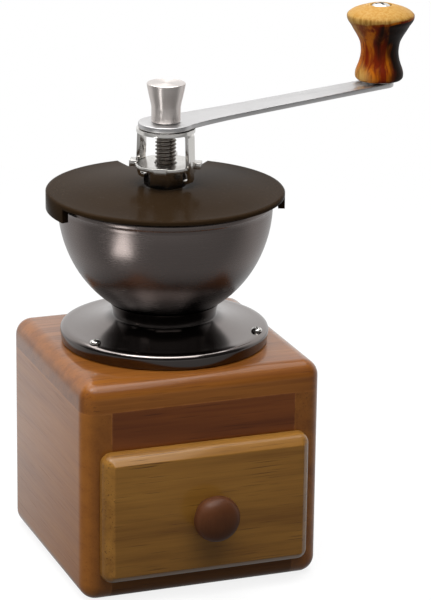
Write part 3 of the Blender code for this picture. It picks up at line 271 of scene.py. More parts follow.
EDGE_WEAR_AND_HIGHLIGHT = build_edge_wear_and_highlight()


def new_finish(name):
    """A material with an empty Principled shader, ready for its nodes."""
    made = bpy.data.materials.new(name)
    made.use_nodes = True
    return made, made.node_tree, made.node_tree.nodes["Principled BSDF"]


def use_group(tree, group, sockets):
    """Puts in one of the shared node groups."""
    return put(tree, "Group", sockets, node_tree=group).outputs


def worn_and_lit(tree, tone, share, colour, gain, lift, width, breaks):
    """A tone that turns paler along the edges, as rubbed wear and painted highlight. Gain and lift make the
    pale from the colour.
    """
    pale = (*(min(1.0, gain * part + lift) for part in colour), 1)
    rubbed_and_lit = use_group(tree, EDGE_WEAR_AND_HIGHLIGHT, {"Width": width, "Breaks": breaks})["Mask"]
    return blended(tree, sums(tree, "MULTIPLY", rubbed_and_lit, share), tone, pale)


def raised(tree, height, distance, strength):
    """The normals of a surface with fine bumps."""
    return put(tree, "Bump", {"Height": height, "Distance": distance, "Strength": strength}).outputs[0]


def wood(name, light, dark, pore, lay=(0, 0, 0), shift=(0, 0, 0), figure=1.0, pores=1.0, gloss=0.36,
         coat=1.0, coat_gloss=0.10, wear_and_highlight=0.4):
    """Oiled or lacquered wood with its grain along X, turned to lie along the board."""
    made, tree, shader = new_finish(name)
    place = put(tree, "TexCoord").outputs
    along = put(tree, "Mapping", {"Vector": place["Object"], "Rotation": lay, "Location": shift}).outputs[0]
    facing = put(tree, "Mapping", {"Vector": place["Normal"], "Rotation": lay},
                 vector_type="NORMAL").outputs[0]
    grain = use_group(tree, WOOD_GRAIN, {"Vector": along, "Normal": facing, "Light": (*light, 1),
                                         "Dark": (*dark, 1), "Pore": (*pore, 1), "Figure": figure,
                                         "Pores": pores, "Gloss": gloss})
    # The edges are painted paler: rubbed wear and a painted highlight.
    colour = worn_and_lit(tree, grain["Color"], wear_and_highlight, light, 1.45, 0.02, 0.0012, 260.0)
    feed(tree, shader, {"Base Color": colour, "Roughness": grain["Roughness"], "Coat Weight": coat,
                        "Specular IOR Level": 0.12, "Coat Roughness": coat_gloss, "Coat IOR": 1.25,
                        "Normal": raised(tree, grain["Height"], 0.00006, 0.7)})
    return made


QUARTER = math.pi / 2
SIDEWAYS = (0, 0, QUARTER)
OIL_LIGHT = (0.31, 0.112, 0.017)
OIL_DARK = (0.170, 0.050, 0.008)
OIL_PORE = (0.060, 0.018, 0.005)
top_finish = wood("oiled_top_wood", (0.27, 0.094, 0.0145), (0.140, 0.040, 0.0065), OIL_PORE,
                  shift=(0.03, 0.02, 0.0))
left_finish = wood("oiled_left_wood", OIL_LIGHT, OIL_DARK, OIL_PORE, lay=SIDEWAYS, shift=(0.2, 0.1, 0.03),
                   figure=0.7, pores=0.5)
right_finish = wood("oiled_right_wood", OIL_LIGHT, OIL_DARK, OIL_PORE, lay=SIDEWAYS, shift=(0.5, 0.0, 0.07))
back_finish = wood("oiled_back_wood", OIL_LIGHT, OIL_DARK, OIL_PORE, shift=(0.4, 0.3, 0.11))
# The bottom board is a darker copy of the same wood: painted shade, as it lies in shadow under the drawer
# front.
painted_shade_base_finish = wood("oiled_bottom_wood_painted_shade", (0.170, 0.062, 0.011), (0.100, 0.030, 0.006), OIL_PORE,
                   shift=(0.7, 0.13, 0.05), coat=0.4)
rail_finish = wood("oiled_rail_wood", (0.185, 0.053, 0.010), (0.095, 0.024, 0.005), (0.04, 0.012, 0.004),
                   shift=(0.9, 0.21, 0.02))

front_y = BOX_LOW[1]
right_x, back_y, box_top = BOX_HIGH
under_top = box_top - BOARD_THICKNESS
inner_x = right_x - BOARD_THICKNESS
rail_low = under_top - 18.3
UP, DOWN = (0, 0, 1), (0, 0, -1)
RIGHT, LEFT = (1, 0, 0), (-1, 0, 0)
BACK, FRONT = (0, 1, 0), (0, -1, 0)

below_top = ((0, 0, under_top), UP)
from_left = ((-inner_x + GLUE_LINE, 0, 0), LEFT)
from_right = ((inner_x - GLUE_LINE, 0, 0), RIGHT)
rear_face = (0, back_y - BOARD_THICKNESS, 0)

top = box_board("box_top", ((0, 0, under_top), DOWN))
drill(top, rod("chute", 14.0, under_top - 5, box_top + 5, sides=64))
fit(smooth_faces(top), top_finish, "frame", "box_wood", "top_board")
fit(box_board("box_left_side", below_top, ((-inner_x, 0, 0), RIGHT)), left_finish, "frame", "box_wood",
    "left_board")
fit(box_board("box_right_side", below_top, ((inner_x, 0, 0), LEFT)), right_finish, "frame", "box_wood",
    "right_board")
fit(box_board("box_back", below_top, from_left, from_right, (rear_face, FRONT)), back_finish, "frame",
    "box_wood", "back_board")
fit(box_board("box_base", ((0, 0, BOARD_THICKNESS), UP), from_left, from_right,
              ((0, back_y - BOARD_THICKNESS - GLUE_LINE, 0), BACK)), painted_shade_base_finish, "frame", "box_wood",
    "bottom_board")
fit(box_board("box_rail", below_top, from_left, from_right, ((0, 0, rail_low), DOWN),
              ((0, front_y + BOARD_THICKNESS, 0), BACK)), rail_finish, "frame", "rail_wood", "front_rail")


# The drawer: a thick front of paler wood with a moulded edge, and a plain box glued behind it.
# A lacquered knob is screwed on from inside.

FRONT_FACE = -55.25
FRONT_BACK = -48.05
FRONT_HALF = 43.2
FRONT_LOW = 9.0
FRONT_HIGH = 63.0
DRAWER_HALF = 37.35
DRAWER_LOW = 12.0
DRAWER_HIGH = 56.0
DRAWER_REAR = 34.55
DRAWER_WALL = 5.0


def bevel_where(piece, wanted, width, segments):
    """Bevels the edges whose two ends are all that is wanted."""
    take_up(piece)
    bpy.ops.object.mode_set(mode="EDIT")
    bpy.ops.mesh.select_mode(type="EDGE")
    bpy.ops.mesh.select_all(action="DESELECT")
    work = bmesh.from_edit_mesh(piece.data)
    for edge in work.edges:
        edge.select_set(wanted(*(vertex.co / MM for vertex in edge.verts)))
    bmesh.update_edit_mesh(piece.data)
    bpy.ops.mesh.bevel(offset=width * MM, segments=segments)
    bpy.ops.object.mode_set(mode="OBJECT")
    return piece


def drawer_front():
    """Round corners first, then a chamfer along the face, rounded outside and crisp inside."""
    piece = saw_block("drawer_face", (-FRONT_HALF, FRONT_FACE, FRONT_LOW),
                      (FRONT_HALF, FRONT_BACK, FRONT_HIGH))
    chamfer = 3.8
    bevel_where(piece, lambda a, b: abs(a.y - b.y) > 5, 4.5, 8)
    bevel_where(piece, lambda a, b: max(a.y, b.y) < FRONT_FACE + 0.1, chamfer, 1)
    bevel_where(piece, lambda a, b: abs(a.y - b.y) < 0.1 and abs(a.y - FRONT_FACE - chamfer) < 0.1, 2.2, 6)
    bevel_where(piece, lambda a, b: max(a.y, b.y) < FRONT_FACE + 0.1, 0.35, 3)
    return smooth_faces(piece, 50)


drawer_finish = wood("oiled_drawer_wood", (0.30, 0.140, 0.025), (0.185, 0.078, 0.014), (0.07, 0.024, 0.006),
                     shift=(1.3, 0.4, 0.013), figure=1.4, pores=1.5)
PLAIN_WOOD = ((0.50, 0.33, 0.17), (0.38, 0.23, 0.11), (0.22, 0.12, 0.05))
plain_finish = wood("plain_drawer_wood", *PLAIN_WOOD, shift=(1.7, 0.4, 0.31), gloss=0.55, coat=0.0,
                    wear_and_highlight=0.1, pores=0.6)
plain_side_finish = wood("plain_drawer_side_wood", *PLAIN_WOOD, lay=SIDEWAYS, shift=(1.1, 0.6, 0.37),
                         gloss=0.55, coat=0.0, wear_and_highlight=0.1, pores=0.6)

fit(drawer_front(), drawer_finish, "drawer", "drawer_wood", "drawer_front")
inner = DRAWER_HALF - DRAWER_WALL
between = inner - 0.05
walls_front = -42.7
drawer_boards = (
    ("drawer_inner_face", "drawer_inner_front", plain_finish, 0.6,
     (-DRAWER_HALF, -47.75, DRAWER_LOW), (DRAWER_HALF, -42.75, DRAWER_HIGH)),
    ("drawer_left_wall", "drawer_left_side", plain_side_finish, 0.6,
     (-DRAWER_HALF, walls_front, DRAWER_LOW), (-inner, DRAWER_REAR, DRAWER_HIGH)),
    ("drawer_right_wall", "drawer_right_side", plain_side_finish, 0.6,
     (inner, walls_front, DRAWER_LOW), (DRAWER_HALF, DRAWER_REAR, DRAWER_HIGH)),
    ("drawer_rear_wall", "drawer_back", plain_finish, 0.6,
     (-between, DRAWER_REAR - DRAWER_WALL, DRAWER_LOW), (between, DRAWER_REAR, DRAWER_HIGH)),
    ("drawer_floor", "drawer_bottom", plain_finish, 0.2,
     (-between, walls_front, DRAWER_LOW), (between, 29.5, DRAWER_LOW + 3.0)))
for name, node, finish, edge, low, high in drawer_boards:
    board = smooth_faces(round_edges(saw_block(name, low, high), edge, 3))
    fit(board, finish, "drawer", "inner_wood", node)


def finish_mesh():
    """Turns all faces outwards and leaves edit mode."""
    bpy.ops.mesh.select_all(action="SELECT")
    bpy.ops.mesh.normals_make_consistent(inside=False)
    bpy.ops.object.mode_set(mode="OBJECT")


def turn(name, profile, steps=96, closed=False):
    """Turns a piece on the lathe from (radius, height) points in millimetres, down its outer side."""
    clear_bench()
    points = [Vector((radius, 0, height)) * MM for radius, height in profile]
    if closed:
        points.append(points[0])
    bpy.ops.mesh.primitive_plane_add(size=MM, location=points[0])
    bpy.ops.object.transform_apply(location=True, rotation=True, scale=True)
    piece = bpy.context.object
    piece.name = name
    bpy.ops.object.mode_set(mode="EDIT")
    bpy.ops.mesh.select_mode(type="VERT")
    bpy.ops.mesh.select_all(action="SELECT")
    bpy.ops.mesh.merge(type="CENTER")
    for before, after in zip(points, points[1:]):
        bpy.ops.mesh.extrude_vertices_move(TRANSFORM_OT_translate={"value": after - before})
    bpy.ops.mesh.select_all(action="SELECT")
    bpy.ops.mesh.spin(steps=steps, angle=2 * math.pi, center=(0, 0, 0), axis=(0, 0, 1))
    bpy.ops.mesh.select_all(action="SELECT")
    bpy.ops.mesh.remove_doubles(threshold=0.000002)
    finish_mesh()
    return piece


def fair(points, pieces=5):
    """Runs a fair curve through points, as a spline batten does."""
    spots = [Vector((*point, 0)) for point in points]
    ends = [2 * spots[0] - spots[1], *spots, 2 * spots[-1] - spots[-2]]
    run = []
    for a, b, c, d in zip(ends, ends[1:], ends[2:], ends[3:]):
        for k in range(pieces):
            t = k / pieces
            spot = 0.5 * (2 * b + (c - a) * t + (2 * a - 5 * b + 4 * c - d) * t ** 2
                          + (3 * b - a - 3 * c + d) * t ** 3)
            run.append((spot.x, spot.y))
    run.append((spots[-1].x, spots[-1].y))
    return run


def place_mesh(piece, matrix):
    """Moves a piece's mesh and leaves its object at the origin."""
    piece.data.transform(matrix)
    piece.data.update()
    return piece


def shifted(x, y, z):
    """A move in millimetres."""
    return Matrix.Translation(Vector((x, y, z)) * MM)


def cross_recess(radius, low, high):
    """The cutter for a cross recess in a screw's head."""
    wing = 0.26 * radius
    tool = saw_block("bit", (-0.62 * radius, -wing / 2, low), (0.62 * radius, wing / 2, high))
    other = saw_block("bit_wing", (-wing / 2, -0.62 * radius, low), (wing / 2, 0.62 * radius, high))
    return drill(tool, other, operation="UNION")


def pan_head_screw(name, radius, head_radius, head, tip, steps=40):
    """A screw with its seat at height 0, a domed head with a cross recess, and a shank."""
    dome = fair([(0.0, head), (0.45 * head_radius, 0.95 * head), (0.85 * head_radius, 0.66 * head),
                 (head_radius, 0.28 * head), (0.985 * head_radius, 0.0)], 4)
    piece = turn(name, dome + [(radius, 0.0), (radius, tip), (0.0, tip)], steps)
    drill(piece, cross_recess(head_radius, 0.42 * head, head + 1.0))
    return smooth_faces(piece, 40)


def build_fine_marks():
    """Fine tool marks and smudges: the vector's own scale gives their run."""
    tree, given, result = new_group(
        "fine_marks", [("Vector", "Vector", None), ("Place", "Vector", None), ("Gloss", "Float", 0.2),
                       ("Marks", "Float", 0.1), ("Smudges", "Float", 0.1)],
        [("Roughness", "Float"), ("Height", "Float"), ("Shade", "Float")])
    line = noise(tree, given["Vector"], 1.0, 4.0, 0.7)
    spread = sums(tree, "SUBTRACT", line, 0.5)
    patch = sums(tree, "SUBTRACT", noise(tree, given["Place"], 55.0, 3.0, 0.5, 0.4), 0.5)
    rough = sums(tree, "MULTIPLY_ADD", spread, given["Marks"], given["Gloss"])
    rough = sums(tree, "MULTIPLY_ADD", patch, given["Smudges"], rough)
    tree.links.new(sums(tree, "MAXIMUM", rough, 0.03), result["Roughness"])
    tree.links.new(line, result["Height"])
    shade = sums(tree, "MULTIPLY_ADD", spread, 0.25, 1.0)
    tree.links.new(sums(tree, "MULTIPLY_ADD", patch, 0.12, shade), result["Shade"])
    return tree


FINE_MARKS = build_fine_marks()


def shaded(tree, colour, shade):
    """A colour made a little lighter or darker by a number near 1."""
    return put(tree, "VectorMath", {0: colour, "Scale": shade}, operation="SCALE").outputs[0]


def metal(name, colour, gloss, marks, smudges, run=(900, 900, 900), spun=False,
          edge_highlight_and_wear=0.35, lay=(0, 0, 0), depth=0.000004, edge=0.0005, streaks=0.0, painted_shade=()):
    """Metal with fine marks. Spun metal has them round its own axis, other metal along its run.
    Each row of painted shade gives a height in millimetres, the height where the tone has been darkened
    to a share of the colour, and that share."""
    made, tree, shader = new_finish(name)
    place = put(tree, "TexCoord").outputs["Object"]
    local = put(tree, "Mapping", {"Vector": place, "Rotation": lay}).outputs[0]
    if spun:
        split = axes_of(tree, local)
        round_about = sums(tree, "MULTIPLY", sums(tree, "ARCTAN2", split[1], split[0]), 0.002)
        local = put(tree, "CombineXYZ", {0: reach_of(tree, split[0], split[1]), 1: round_about,
                                         2: split[2]}).outputs[0]
    marked = use_group(tree, FINE_MARKS, {"Vector": stretched(tree, local, run), "Place": place,
                                          "Gloss": gloss, "Marks": marks, "Smudges": smudges})
    tone = shaded(tree, colour, marked["Shade"])
    # Painted shade: each row darkens the tone from a height on.
    for start, end, share in painted_shade:
        shade_step = step_between(tree, axes_of(tree, place)[2], start * MM, end * MM)
        tone = shaded(tree, tone, sums(tree, "MULTIPLY_ADD", shade_step, share - 1, 1.0))
    # The edges are painted paler: a painted highlight and rubbed wear.
    tone = worn_and_lit(tree, tone, edge_highlight_and_wear, colour, 1.35, 0.10, edge, 500.0)
    feed(tree, shader, {"Base Color": tone, "Roughness": marked["Roughness"], "Metallic": 1.0,
                        "Normal": raised(tree, marked["Height"], depth, 0.5)})
    if streaks:
        around = put(tree, "Tangent", direction_type="RADIAL", axis="Z").outputs[0]
        feed(tree, shader, {"Anisotropic": streaks, "Anisotropic Rotation": 0.25, "Tangent": around})
    return made


screw_finish = metal("plated_screw_steel", (0.72, 0.70, 0.67), 0.20, 0.1, 0.1)
lacquer_finish = wood("brown_lacquered_wood", (0.088, 0.030, 0.011), (0.060, 0.019, 0.007),
                      (0.04, 0.013, 0.006), lay=(0, QUARTER, 0), shift=(0.2, 0.9, 0.1), gloss=0.45,
                      coat=0.20, coat_gloss=0.05, pores=0.3, wear_and_highlight=0.1)

KNOB_MIDDLE = 36.0
knob_profile = fair([(0.0, 13.5), (3.0, 13.32), (5.6, 12.6), (7.6, 11.4), (8.9, 9.7), (9.4, 7.9),
                     (9.28, 6.7)])
knob_profile += [(8.9, 6.3), (6.35, 6.25), (6.2, 5.9), (6.2, 0.3), (2.0, 0.3), (2.0, 8.8), (0.0, 8.8)]
knob = smooth_faces(round_edges(turn("drawer_pull", knob_profile), 0.12, 2, 50))
place_mesh(knob, shifted(0, FRONT_FACE, KNOB_MIDDLE) @ Matrix.Rotation(QUARTER, 4, "X"))
fit(knob, lacquer_finish, "drawer", "brown_lacquer", "drawer_knob")

pull_screw = pan_head_screw("drawer_pull_screw", 1.7, 3.4, 2.0, -21.0)
place_mesh(pull_screw, shifted(0, -42.45, KNOB_MIDDLE) @ Matrix.Rotation(-QUARTER, 4, "X"))
fit(pull_screw, screw_finish, "drawer", "bright_steel", "drawer_knob_screw")


# The hopper's foot: a flared casting of bronzed metal, polished and screwed on the top board.
# Its flange has a raised rim, and three small pan head screws go through it.

FOOT_LOW = 90.8
FOOT_HIGH = 107.0
SCREW_SEAT = 97.1
foot_profile = fair([(22.4, FOOT_HIGH), (21.6, 105.6), (21.0, 103.6), (20.75, 101.3)])
foot_profile += fair([(21.0, 101.05), (22.5, 100.45), (25.0, 99.5), (28.0, 98.6), (32.0, 97.75),
                      (36.0, 97.2), (39.4, 96.93)])
foot_profile += [(40.4, 96.8), (41.2, 96.5), (41.7, 96.0), (41.95, 95.3), (42.0, 94.6), (41.55, 91.6),
                 (41.4, 91.0), (41.0, FOOT_LOW), (34.2, FOOT_LOW), (34.2, 94.3), (22.2, 94.3),
                 (22.2, FOOT_LOW), (16.5, FOOT_LOW), (16.5, FOOT_HIGH)]
# The rim's side and the neck are darkened with painted shade, which dims their reflections.
foot_finish = metal("bronzed_foot_metal", (0.215, 0.190, 0.180), 0.15, 0.05, 0.10, run=(2600, 1, 2600),
                    spun=True, edge=0.0008, edge_highlight_and_wear=0.25,
                    painted_shade=((96.3, 95.0, 0.5), (99.4, 101.2, 0.32)))


def round_the_axis(radius, start, count):
    """Evenly spaced (x, y) spots on a circle round the axis, in millimetres."""
    angles = [math.radians(start + 360 / count * k) for k in range(count)]
    return [(radius * math.cos(angle), radius * math.sin(angle)) for angle in angles]


foot = smooth_faces(turn("flared_foot", foot_profile, 144, closed=True), 42)
screw_spots = round_the_axis(38.3, 85.2, 3)
for spot in screw_spots:
    drill(foot, rod("foot_drill", 1.6, 88, 100, spot, 24))
fit(smooth_faces(foot, 42), foot_finish, "frame", "bronzed_foot", "hopper_foot")
for k, spot in enumerate(screw_spots):
    screw = pan_head_screw(f"flange_screw_{k + 1}", 1.3, 2.2, 1.5, -15.6)
    place_mesh(screw, shifted(*spot, SCREW_SEAT) @ Matrix.Rotation(0.7 + 1.9 * k, 4, "Z"))
    fit(screw, screw_finish, "frame", "bright_steel", f"foot_screw_{k + 1}")


# The hopper's bowl: spun from steel sheet, with a rolled rim, and bronzed to a satin shine.
# Its flat bottom is clamped on the foot by the burr holder.

BOWL_RADIUS = 42.9
BOWL_WIDEST = 147.9
BOWL_DROP = 47.7
BOWL_WALL = 1.2


def bowl_radius(height):
    """Outer radius at a height of the spun wall, which is a quarter of an ellipse."""
    return BOWL_RADIUS * math.sqrt(1 - ((BOWL_WIDEST - height) / BOWL_DROP) ** 2)


wall_angles = [math.radians(2.4) + math.radians(54.0) * k / 34 for k in range(35)]
wall_heights = [BOWL_WIDEST - BOWL_DROP * math.sin(angle) for angle in wall_angles]
bowl_profile = [(41.75, 150.3), (42.1, 150.6), (42.6, 150.7), (43.15, 150.55), (43.6, 150.1),
                (43.75, 149.3), (43.68, 148.5), (43.4, 147.85), (43.05, 147.5), (42.87, 147.3)]
bowl_profile += [(bowl_radius(h), h) for h in wall_heights if 108.3 < h < 147.0]
bowl_profile += [(23.1, 107.75), (22.3, 107.3), (16.6, 107.3), (16.6, 108.5), (22.6, 108.5)]
bowl_profile += [(bowl_radius(h) - BOWL_WALL, h + 0.25) for h in reversed(wall_heights)
                 if 109.0 < h < 146.5]
# The bowl's lower part is darkened with painted shade, so that it mirrors the box top as if shaded.
bowl_finish = metal("bronzed_bowl_steel", (0.170, 0.143, 0.134), 0.27, 0.10, 0.10, run=(3000, 1, 3000),
                    spun=True, edge_highlight_and_wear=0.3, depth=0.000012,
                    painted_shade=((131.0, 120.0, 0.33), (121.0, 114.0, 0.50)))
bowl = smooth_faces(turn("spun_bowl", bowl_profile, 144, closed=True), 42)
fit(bowl, bowl_finish, "frame", "bronzed_steel", "hopper_bowl")


# Inside the bowl's neck: a moulded burr holder with a ceramic ring burr in it, held by three screws.
# The ceramic cone below turns with the shaft, and a washer and nut hold it there.

def build_fine_grit():
    """A moulded or fired surface: fine grit, faint clouds and dust that lies on top."""
    tree, given, result = new_group(
        "fine_grit", [("Vector", "Vector", None), ("Normal", "Vector", None), ("Grit", "Float", 2500.0),
                      ("Gloss", "Float", 0.4), ("Clouds", "Float", 0.1)],
        [("Roughness", "Float"), ("Height", "Float"), ("Shade", "Float"), ("Dust", "Float")])
    grit = noise(tree, given["Vector"], given["Grit"])
    patch = sums(tree, "SUBTRACT", noise(tree, given["Vector"], 38.0, 4.0, 0.5, 0.6), 0.5)
    rough = sums(tree, "MULTIPLY_ADD", patch, given["Clouds"], given["Gloss"])
    tree.links.new(sums(tree, "MULTIPLY_ADD", sums(tree, "SUBTRACT", grit, 0.5), 0.06, rough),
                   result["Roughness"])
    tree.links.new(grit, result["Height"])
    tree.links.new(sums(tree, "MULTIPLY_ADD", patch, 0.30, 1.0), result["Shade"])
    upward = step_between(tree, axes_of(tree, given["Normal"])[2], 0.6, 1.0)
    speck = step_between(tree, noise(tree, given["Vector"], 900.0, 1.0), 0.62, 0.78)
    tree.links.new(sums(tree, "MULTIPLY", upward, speck), result["Dust"])
    return tree


FINE_GRIT = build_fine_grit()


def moulded(name, colour, gloss, grit=2500.0, clouds=0.1, depth=0.00002, dust=0.04, wear_and_highlight=0.15,
            specular=0.5, tint=(1, 1, 1)):
    """Moulded plastic, nylon or fired ceramic."""
    made, tree, shader = new_finish(name)
    place = put(tree, "TexCoord").outputs
    gritty = use_group(tree, FINE_GRIT, {"Vector": place["Object"], "Normal": place["Normal"],
                                         "Grit": grit, "Gloss": gloss, "Clouds": clouds})
    tone = shaded(tree, colour, gritty["Shade"])
    # The edges turn paler: rubbed wear and a painted highlight.
    tone = worn_and_lit(tree, tone, wear_and_highlight, colour, 1.6, 0.03, 0.0006, 350.0)
    tone = blended(tree, sums(tree, "MULTIPLY", gritty["Dust"], dust), tone, (0.5, 0.46, 0.42, 1))
    feed(tree, shader, {"Base Color": tone, "Roughness": gritty["Roughness"],
                        "Specular IOR Level": specular, "Specular Tint": (*tint, 1),
                        "Normal": raised(tree, gritty["Height"], depth, 0.4)})
    return made


nylon_finish = moulded("black_nylon", (0.018, 0.018, 0.019), 0.45)
ceramic_finish = moulded("fired_ceramic", (0.78, 0.76, 0.71), 0.42, 4000.0)


def merged_copy(name, node, edge, degrees):
    """A copy of a CAD node with its loose triangles merged and its edges eased."""
    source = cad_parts[node]
    piece = bpy.data.objects.new(name, source.data.copy())
    bpy.context.scene.collection.objects.link(piece)
    take_up(piece)
    bpy.ops.object.mode_set(mode="EDIT")
    bpy.ops.mesh.select_all(action="SELECT")
    bpy.ops.mesh.remove_doubles(threshold=0.000005)
    bpy.ops.mesh.dissolve_limited(angle_limit=math.radians(1.0))
    bpy.ops.object.mode_set(mode="OBJECT")
    if edge:
        round_edges(piece, edge, 2, degrees)
    return smooth_faces(piece, degrees)


HOLDER_SCREW_SEAT = 111.1
holder_profile = [(15.7, 111.0), (20.6, 111.0), (21.0, 110.6), (21.0, 108.8), (16.2, 108.8), (16.2, 93.5),
                  (12.2, 93.5), (12.2, 95.2), (13.3, 95.2), (13.3, 108.6)]
holder = turn("moulded_burr_holder", holder_profile, closed=True)
fit(smooth_faces(round_edges(holder, 0.15, 2, 50)), nylon_finish, "frame", "nylon", "burr_holder")
for k, spot in enumerate(round_the_axis(18.8, 30, 3)):
    screw = pan_head_screw(f"small_holder_screw_{k + 1}", 1.0, 1.9, 1.2, -10.0, 32)
    place_mesh(screw, shifted(*spot, HOLDER_SCREW_SEAT))
    fit(screw, screw_finish, "frame", "bright_steel", f"holder_screw_{k + 1}")
fit(merged_copy("ceramic_ring", "outer_burr", 0.0, 25), ceramic_finish, "frame", "ceramic", "outer_burr")
fit(merged_copy("ceramic_cone", "inner_burr", 0.0, 25), ceramic_finish, "crank", "ceramic", "inner_burr")


def washer(name, hole, radius, low, high, edge):
    """A flat ring with its edges eased."""
    flat = turn(name, [(hole, high), (radius, high), (radius, low), (hole, low)], 64, closed=True)
    return smooth_faces(round_edges(flat, edge, 2))


steel_finish = metal("bright_pressed_steel", (0.70, 0.685, 0.66), 0.17, 0.10, 0.10, run=(500, 500, 60))
fit(washer("cone_washer", 3.3, 7.0, 94.4, 95.2, 0.1), steel_finish, "crank", "bright_steel", "burr_washer")
fit(merged_copy("cone_nut", "burr_nut", 0.25, 40), steel_finish, "crank", "bright_steel", "burr_nut")


# The shaft and its spring: a turned steel shaft with a collar below and a rolled thread above.
# The spring stands on a seat washer over the collar and pushes the shaft down.

THREAD_LOW = 149.3
THREAD_PITCH = 1.5
THREAD_TURNS = 18
shaft_finish = metal("dark_turned_steel", (0.25, 0.225, 0.20), 0.22, 0.12, 0.10, run=(2500, 1, 2500),
                     spun=True, edge_highlight_and_wear=0.5, edge=0.0002)
spring_finish = metal("spring_wire", (0.62, 0.60, 0.58), 0.24, 0.10, 0.08)


def wind(name, outline, pitch, turns, steps):
    """Winds a small closed outline of (radius, height) points up the axis, and closes its two ends."""
    clear_bench()
    points = [Vector((radius, 0, height)) * MM for radius, height in outline]
    bpy.ops.mesh.primitive_circle_add(vertices=len(points), radius=MM)
    piece = bpy.context.object
    piece.name = name
    for vertex, point in zip(piece.data.vertices, points):
        vertex.co = point
    work_with(piece, "SCREW", screw_offset=pitch * MM, iterations=turns, steps=steps, render_steps=steps,
              axis="Z", use_merge_vertices=False)
    bpy.ops.object.mode_set(mode="EDIT")
    bpy.ops.mesh.select_all(action="SELECT")
    bpy.ops.mesh.fill_holes(sides=0)
    finish_mesh()
    return piece


core = [(0.0, 189.8), (3.0, 189.8), (3.4, 189.4), (3.4, 176.3), (3.5, 176.2), (3.5, 149.5), (4.0, 149.0),
        (4.0, 113.5), (4.9, 113.5), (5.2, 113.2), (5.2, 112.2), (4.9, 111.9), (4.0, 111.9), (4.0, 108.3),
        (3.0, 108.3), (3.0, 91.0), (2.7, 90.7), (0.0, 90.7)]
shaft = turn("threaded_shaft", core, 64)
low = THREAD_LOW - 0.3
ridge = wind("rolled_thread", [(3.35, low - 0.7), (4.2, low - 0.1), (4.2, low + 0.1), (3.35, low + 0.7)],
             THREAD_PITCH, THREAD_TURNS, 28)
take_up(shaft, ridge)
bpy.ops.object.join()
fit(smooth_faces(shaft, 25), shaft_finish, "crank", "dark_steel", "shaft")

seat = washer("spring_seat_washer", 4.3, 8.6, 113.8, 114.6, 0.15)
fit(seat, steel_finish, "crank", "bright_steel", "spring_seat")


def arc(radius, start, end, count, middle=(0, 0)):
    """Points on an arc in degrees, both ends among them."""
    angles = [math.radians(start + (end - start) * k / count) for k in range(count + 1)]
    return [(middle[0] + radius * math.cos(angle), middle[1] + radius * math.sin(angle))
            for angle in angles]


SPRING_COILS = 6
SPRING_RISE = 28.1
wire = arc(0.6, 0, 330, 11, (7.6, 115.5))
spring = wind("wound_spring", wire, SPRING_RISE / SPRING_COILS, SPRING_COILS, 40)
fit(smooth_faces(spring, 50), spring_finish, "crank", "spring_steel", "spring")


# The bridge across the bowl carries the shaft's upper bush, and a brass washer on the bush
# takes the push of the adjusting nut.

brass_finish = metal("turned_brass", (0.66, 0.46, 0.19), 0.22, 0.10, 0.12, run=(2500, 1, 2500), spun=True)
fit(merged_copy("bowl_bridge", "bridge", 0.25, 40), steel_finish, "frame", "bright_steel", "bridge")
bush = turn("nylon_bush", [(4.3, 147.7), (8.0, 147.7), (8.0, 146.4), (6.0, 146.4), (6.0, 140.0),
                           (4.3, 140.0)], 64, closed=True)
fit(smooth_faces(round_edges(bush, 0.2, 2)), nylon_finish, "frame", "nylon", "upper_bush")
fit(washer("brass_washer", 4.3, 7.6, 148.0, 149.0, 0.12), brass_finish, "frame", "brass", "thrust_washer")


# The lid: moulded brown plastic, slightly crowned, with a skirt that grips the bowl left and right.
# A slot from its middle to a notch at the back lets it slide off round the shaft.

LID_RADIUS = 47.6
LID_TOP = 153.0
LID_UNDER = 151.1
SKIRT_LOW = 145.7


def flat_piece(name, outline, low, high, angle=0.0):
    """A flat piece cut to an outline of (x, y) points, between two heights, in millimetres."""
    clear_bench()
    bpy.ops.mesh.primitive_circle_add(vertices=len(outline), radius=10 * MM, fill_type="NGON")
    piece = bpy.context.object
    piece.name = name
    for vertex, (x, y) in zip(piece.data.vertices, outline):
        vertex.co = (x * MM, y * MM, low * MM)
    bpy.ops.object.mode_set(mode="EDIT")
    bpy.ops.mesh.select_all(action="SELECT")
    bpy.ops.mesh.extrude_region_move(TRANSFORM_OT_translate={"value": (0, 0, (high - low) * MM)})
    finish_mesh()
    return place_mesh(piece, Matrix.Rotation(angle, 4, "Z"))


crown = fair([(8.09, 154.8), (16.0, 154.58), (24.0, 154.17), (32.0, 153.68), (38.0, 153.3), (43.5, 153.06),
              (46.7, LID_TOP)], 4)
lid_profile = crown + [(47.25, 152.85), (LID_RADIUS, 152.4), (LID_RADIUS, SKIRT_LOW),
                       (44.9, SKIRT_LOW), (44.9, LID_UNDER), (8.09, LID_UNDER)]
lid = turn("crowned_lid", lid_profile, 160, closed=True)
for name, start, end in (("skirt_front", 193.0, 338.0), ("skirt_back", 36.0, 108.0)):
    drill(lid, flat_piece(name, arc(52.0, start, end, 24) + arc(44.3, end, start, 24), 141.0, 151.3))
slot_side = [(0, 8.5), (32.7, 8.5), (32.7, 14.2), (51.6, 22.14)]
slot_outline = [(x, -y) for x, y in slot_side] + slot_side[::-1]
drill(lid, flat_piece("slot", slot_outline, 141.0, 160.0, math.radians(72)))
round_edges(lid, 0.35, 3, 50)
# The lid's edges are painted paler: its front edge's highlight is painted, besides rubbed wear.
lid_finish = moulded("brown_moulded_plastic", (0.020, 0.0115, 0.0055), 0.18, grit=3000.0, clouds=0.06,
                     depth=0.000012, dust=0.02, wear_and_highlight=0.6, specular=0.007, tint=(1.0, 0.78, 0.65))
fit(smooth_faces(lid, 40), lid_finish, "lid", "brown_plastic", "lid")


# The adjusting nut: a turned and milled steel nut, a hexagonal boss below a ring with four lugs.
# Two notches in the ring take the stopper's legs.

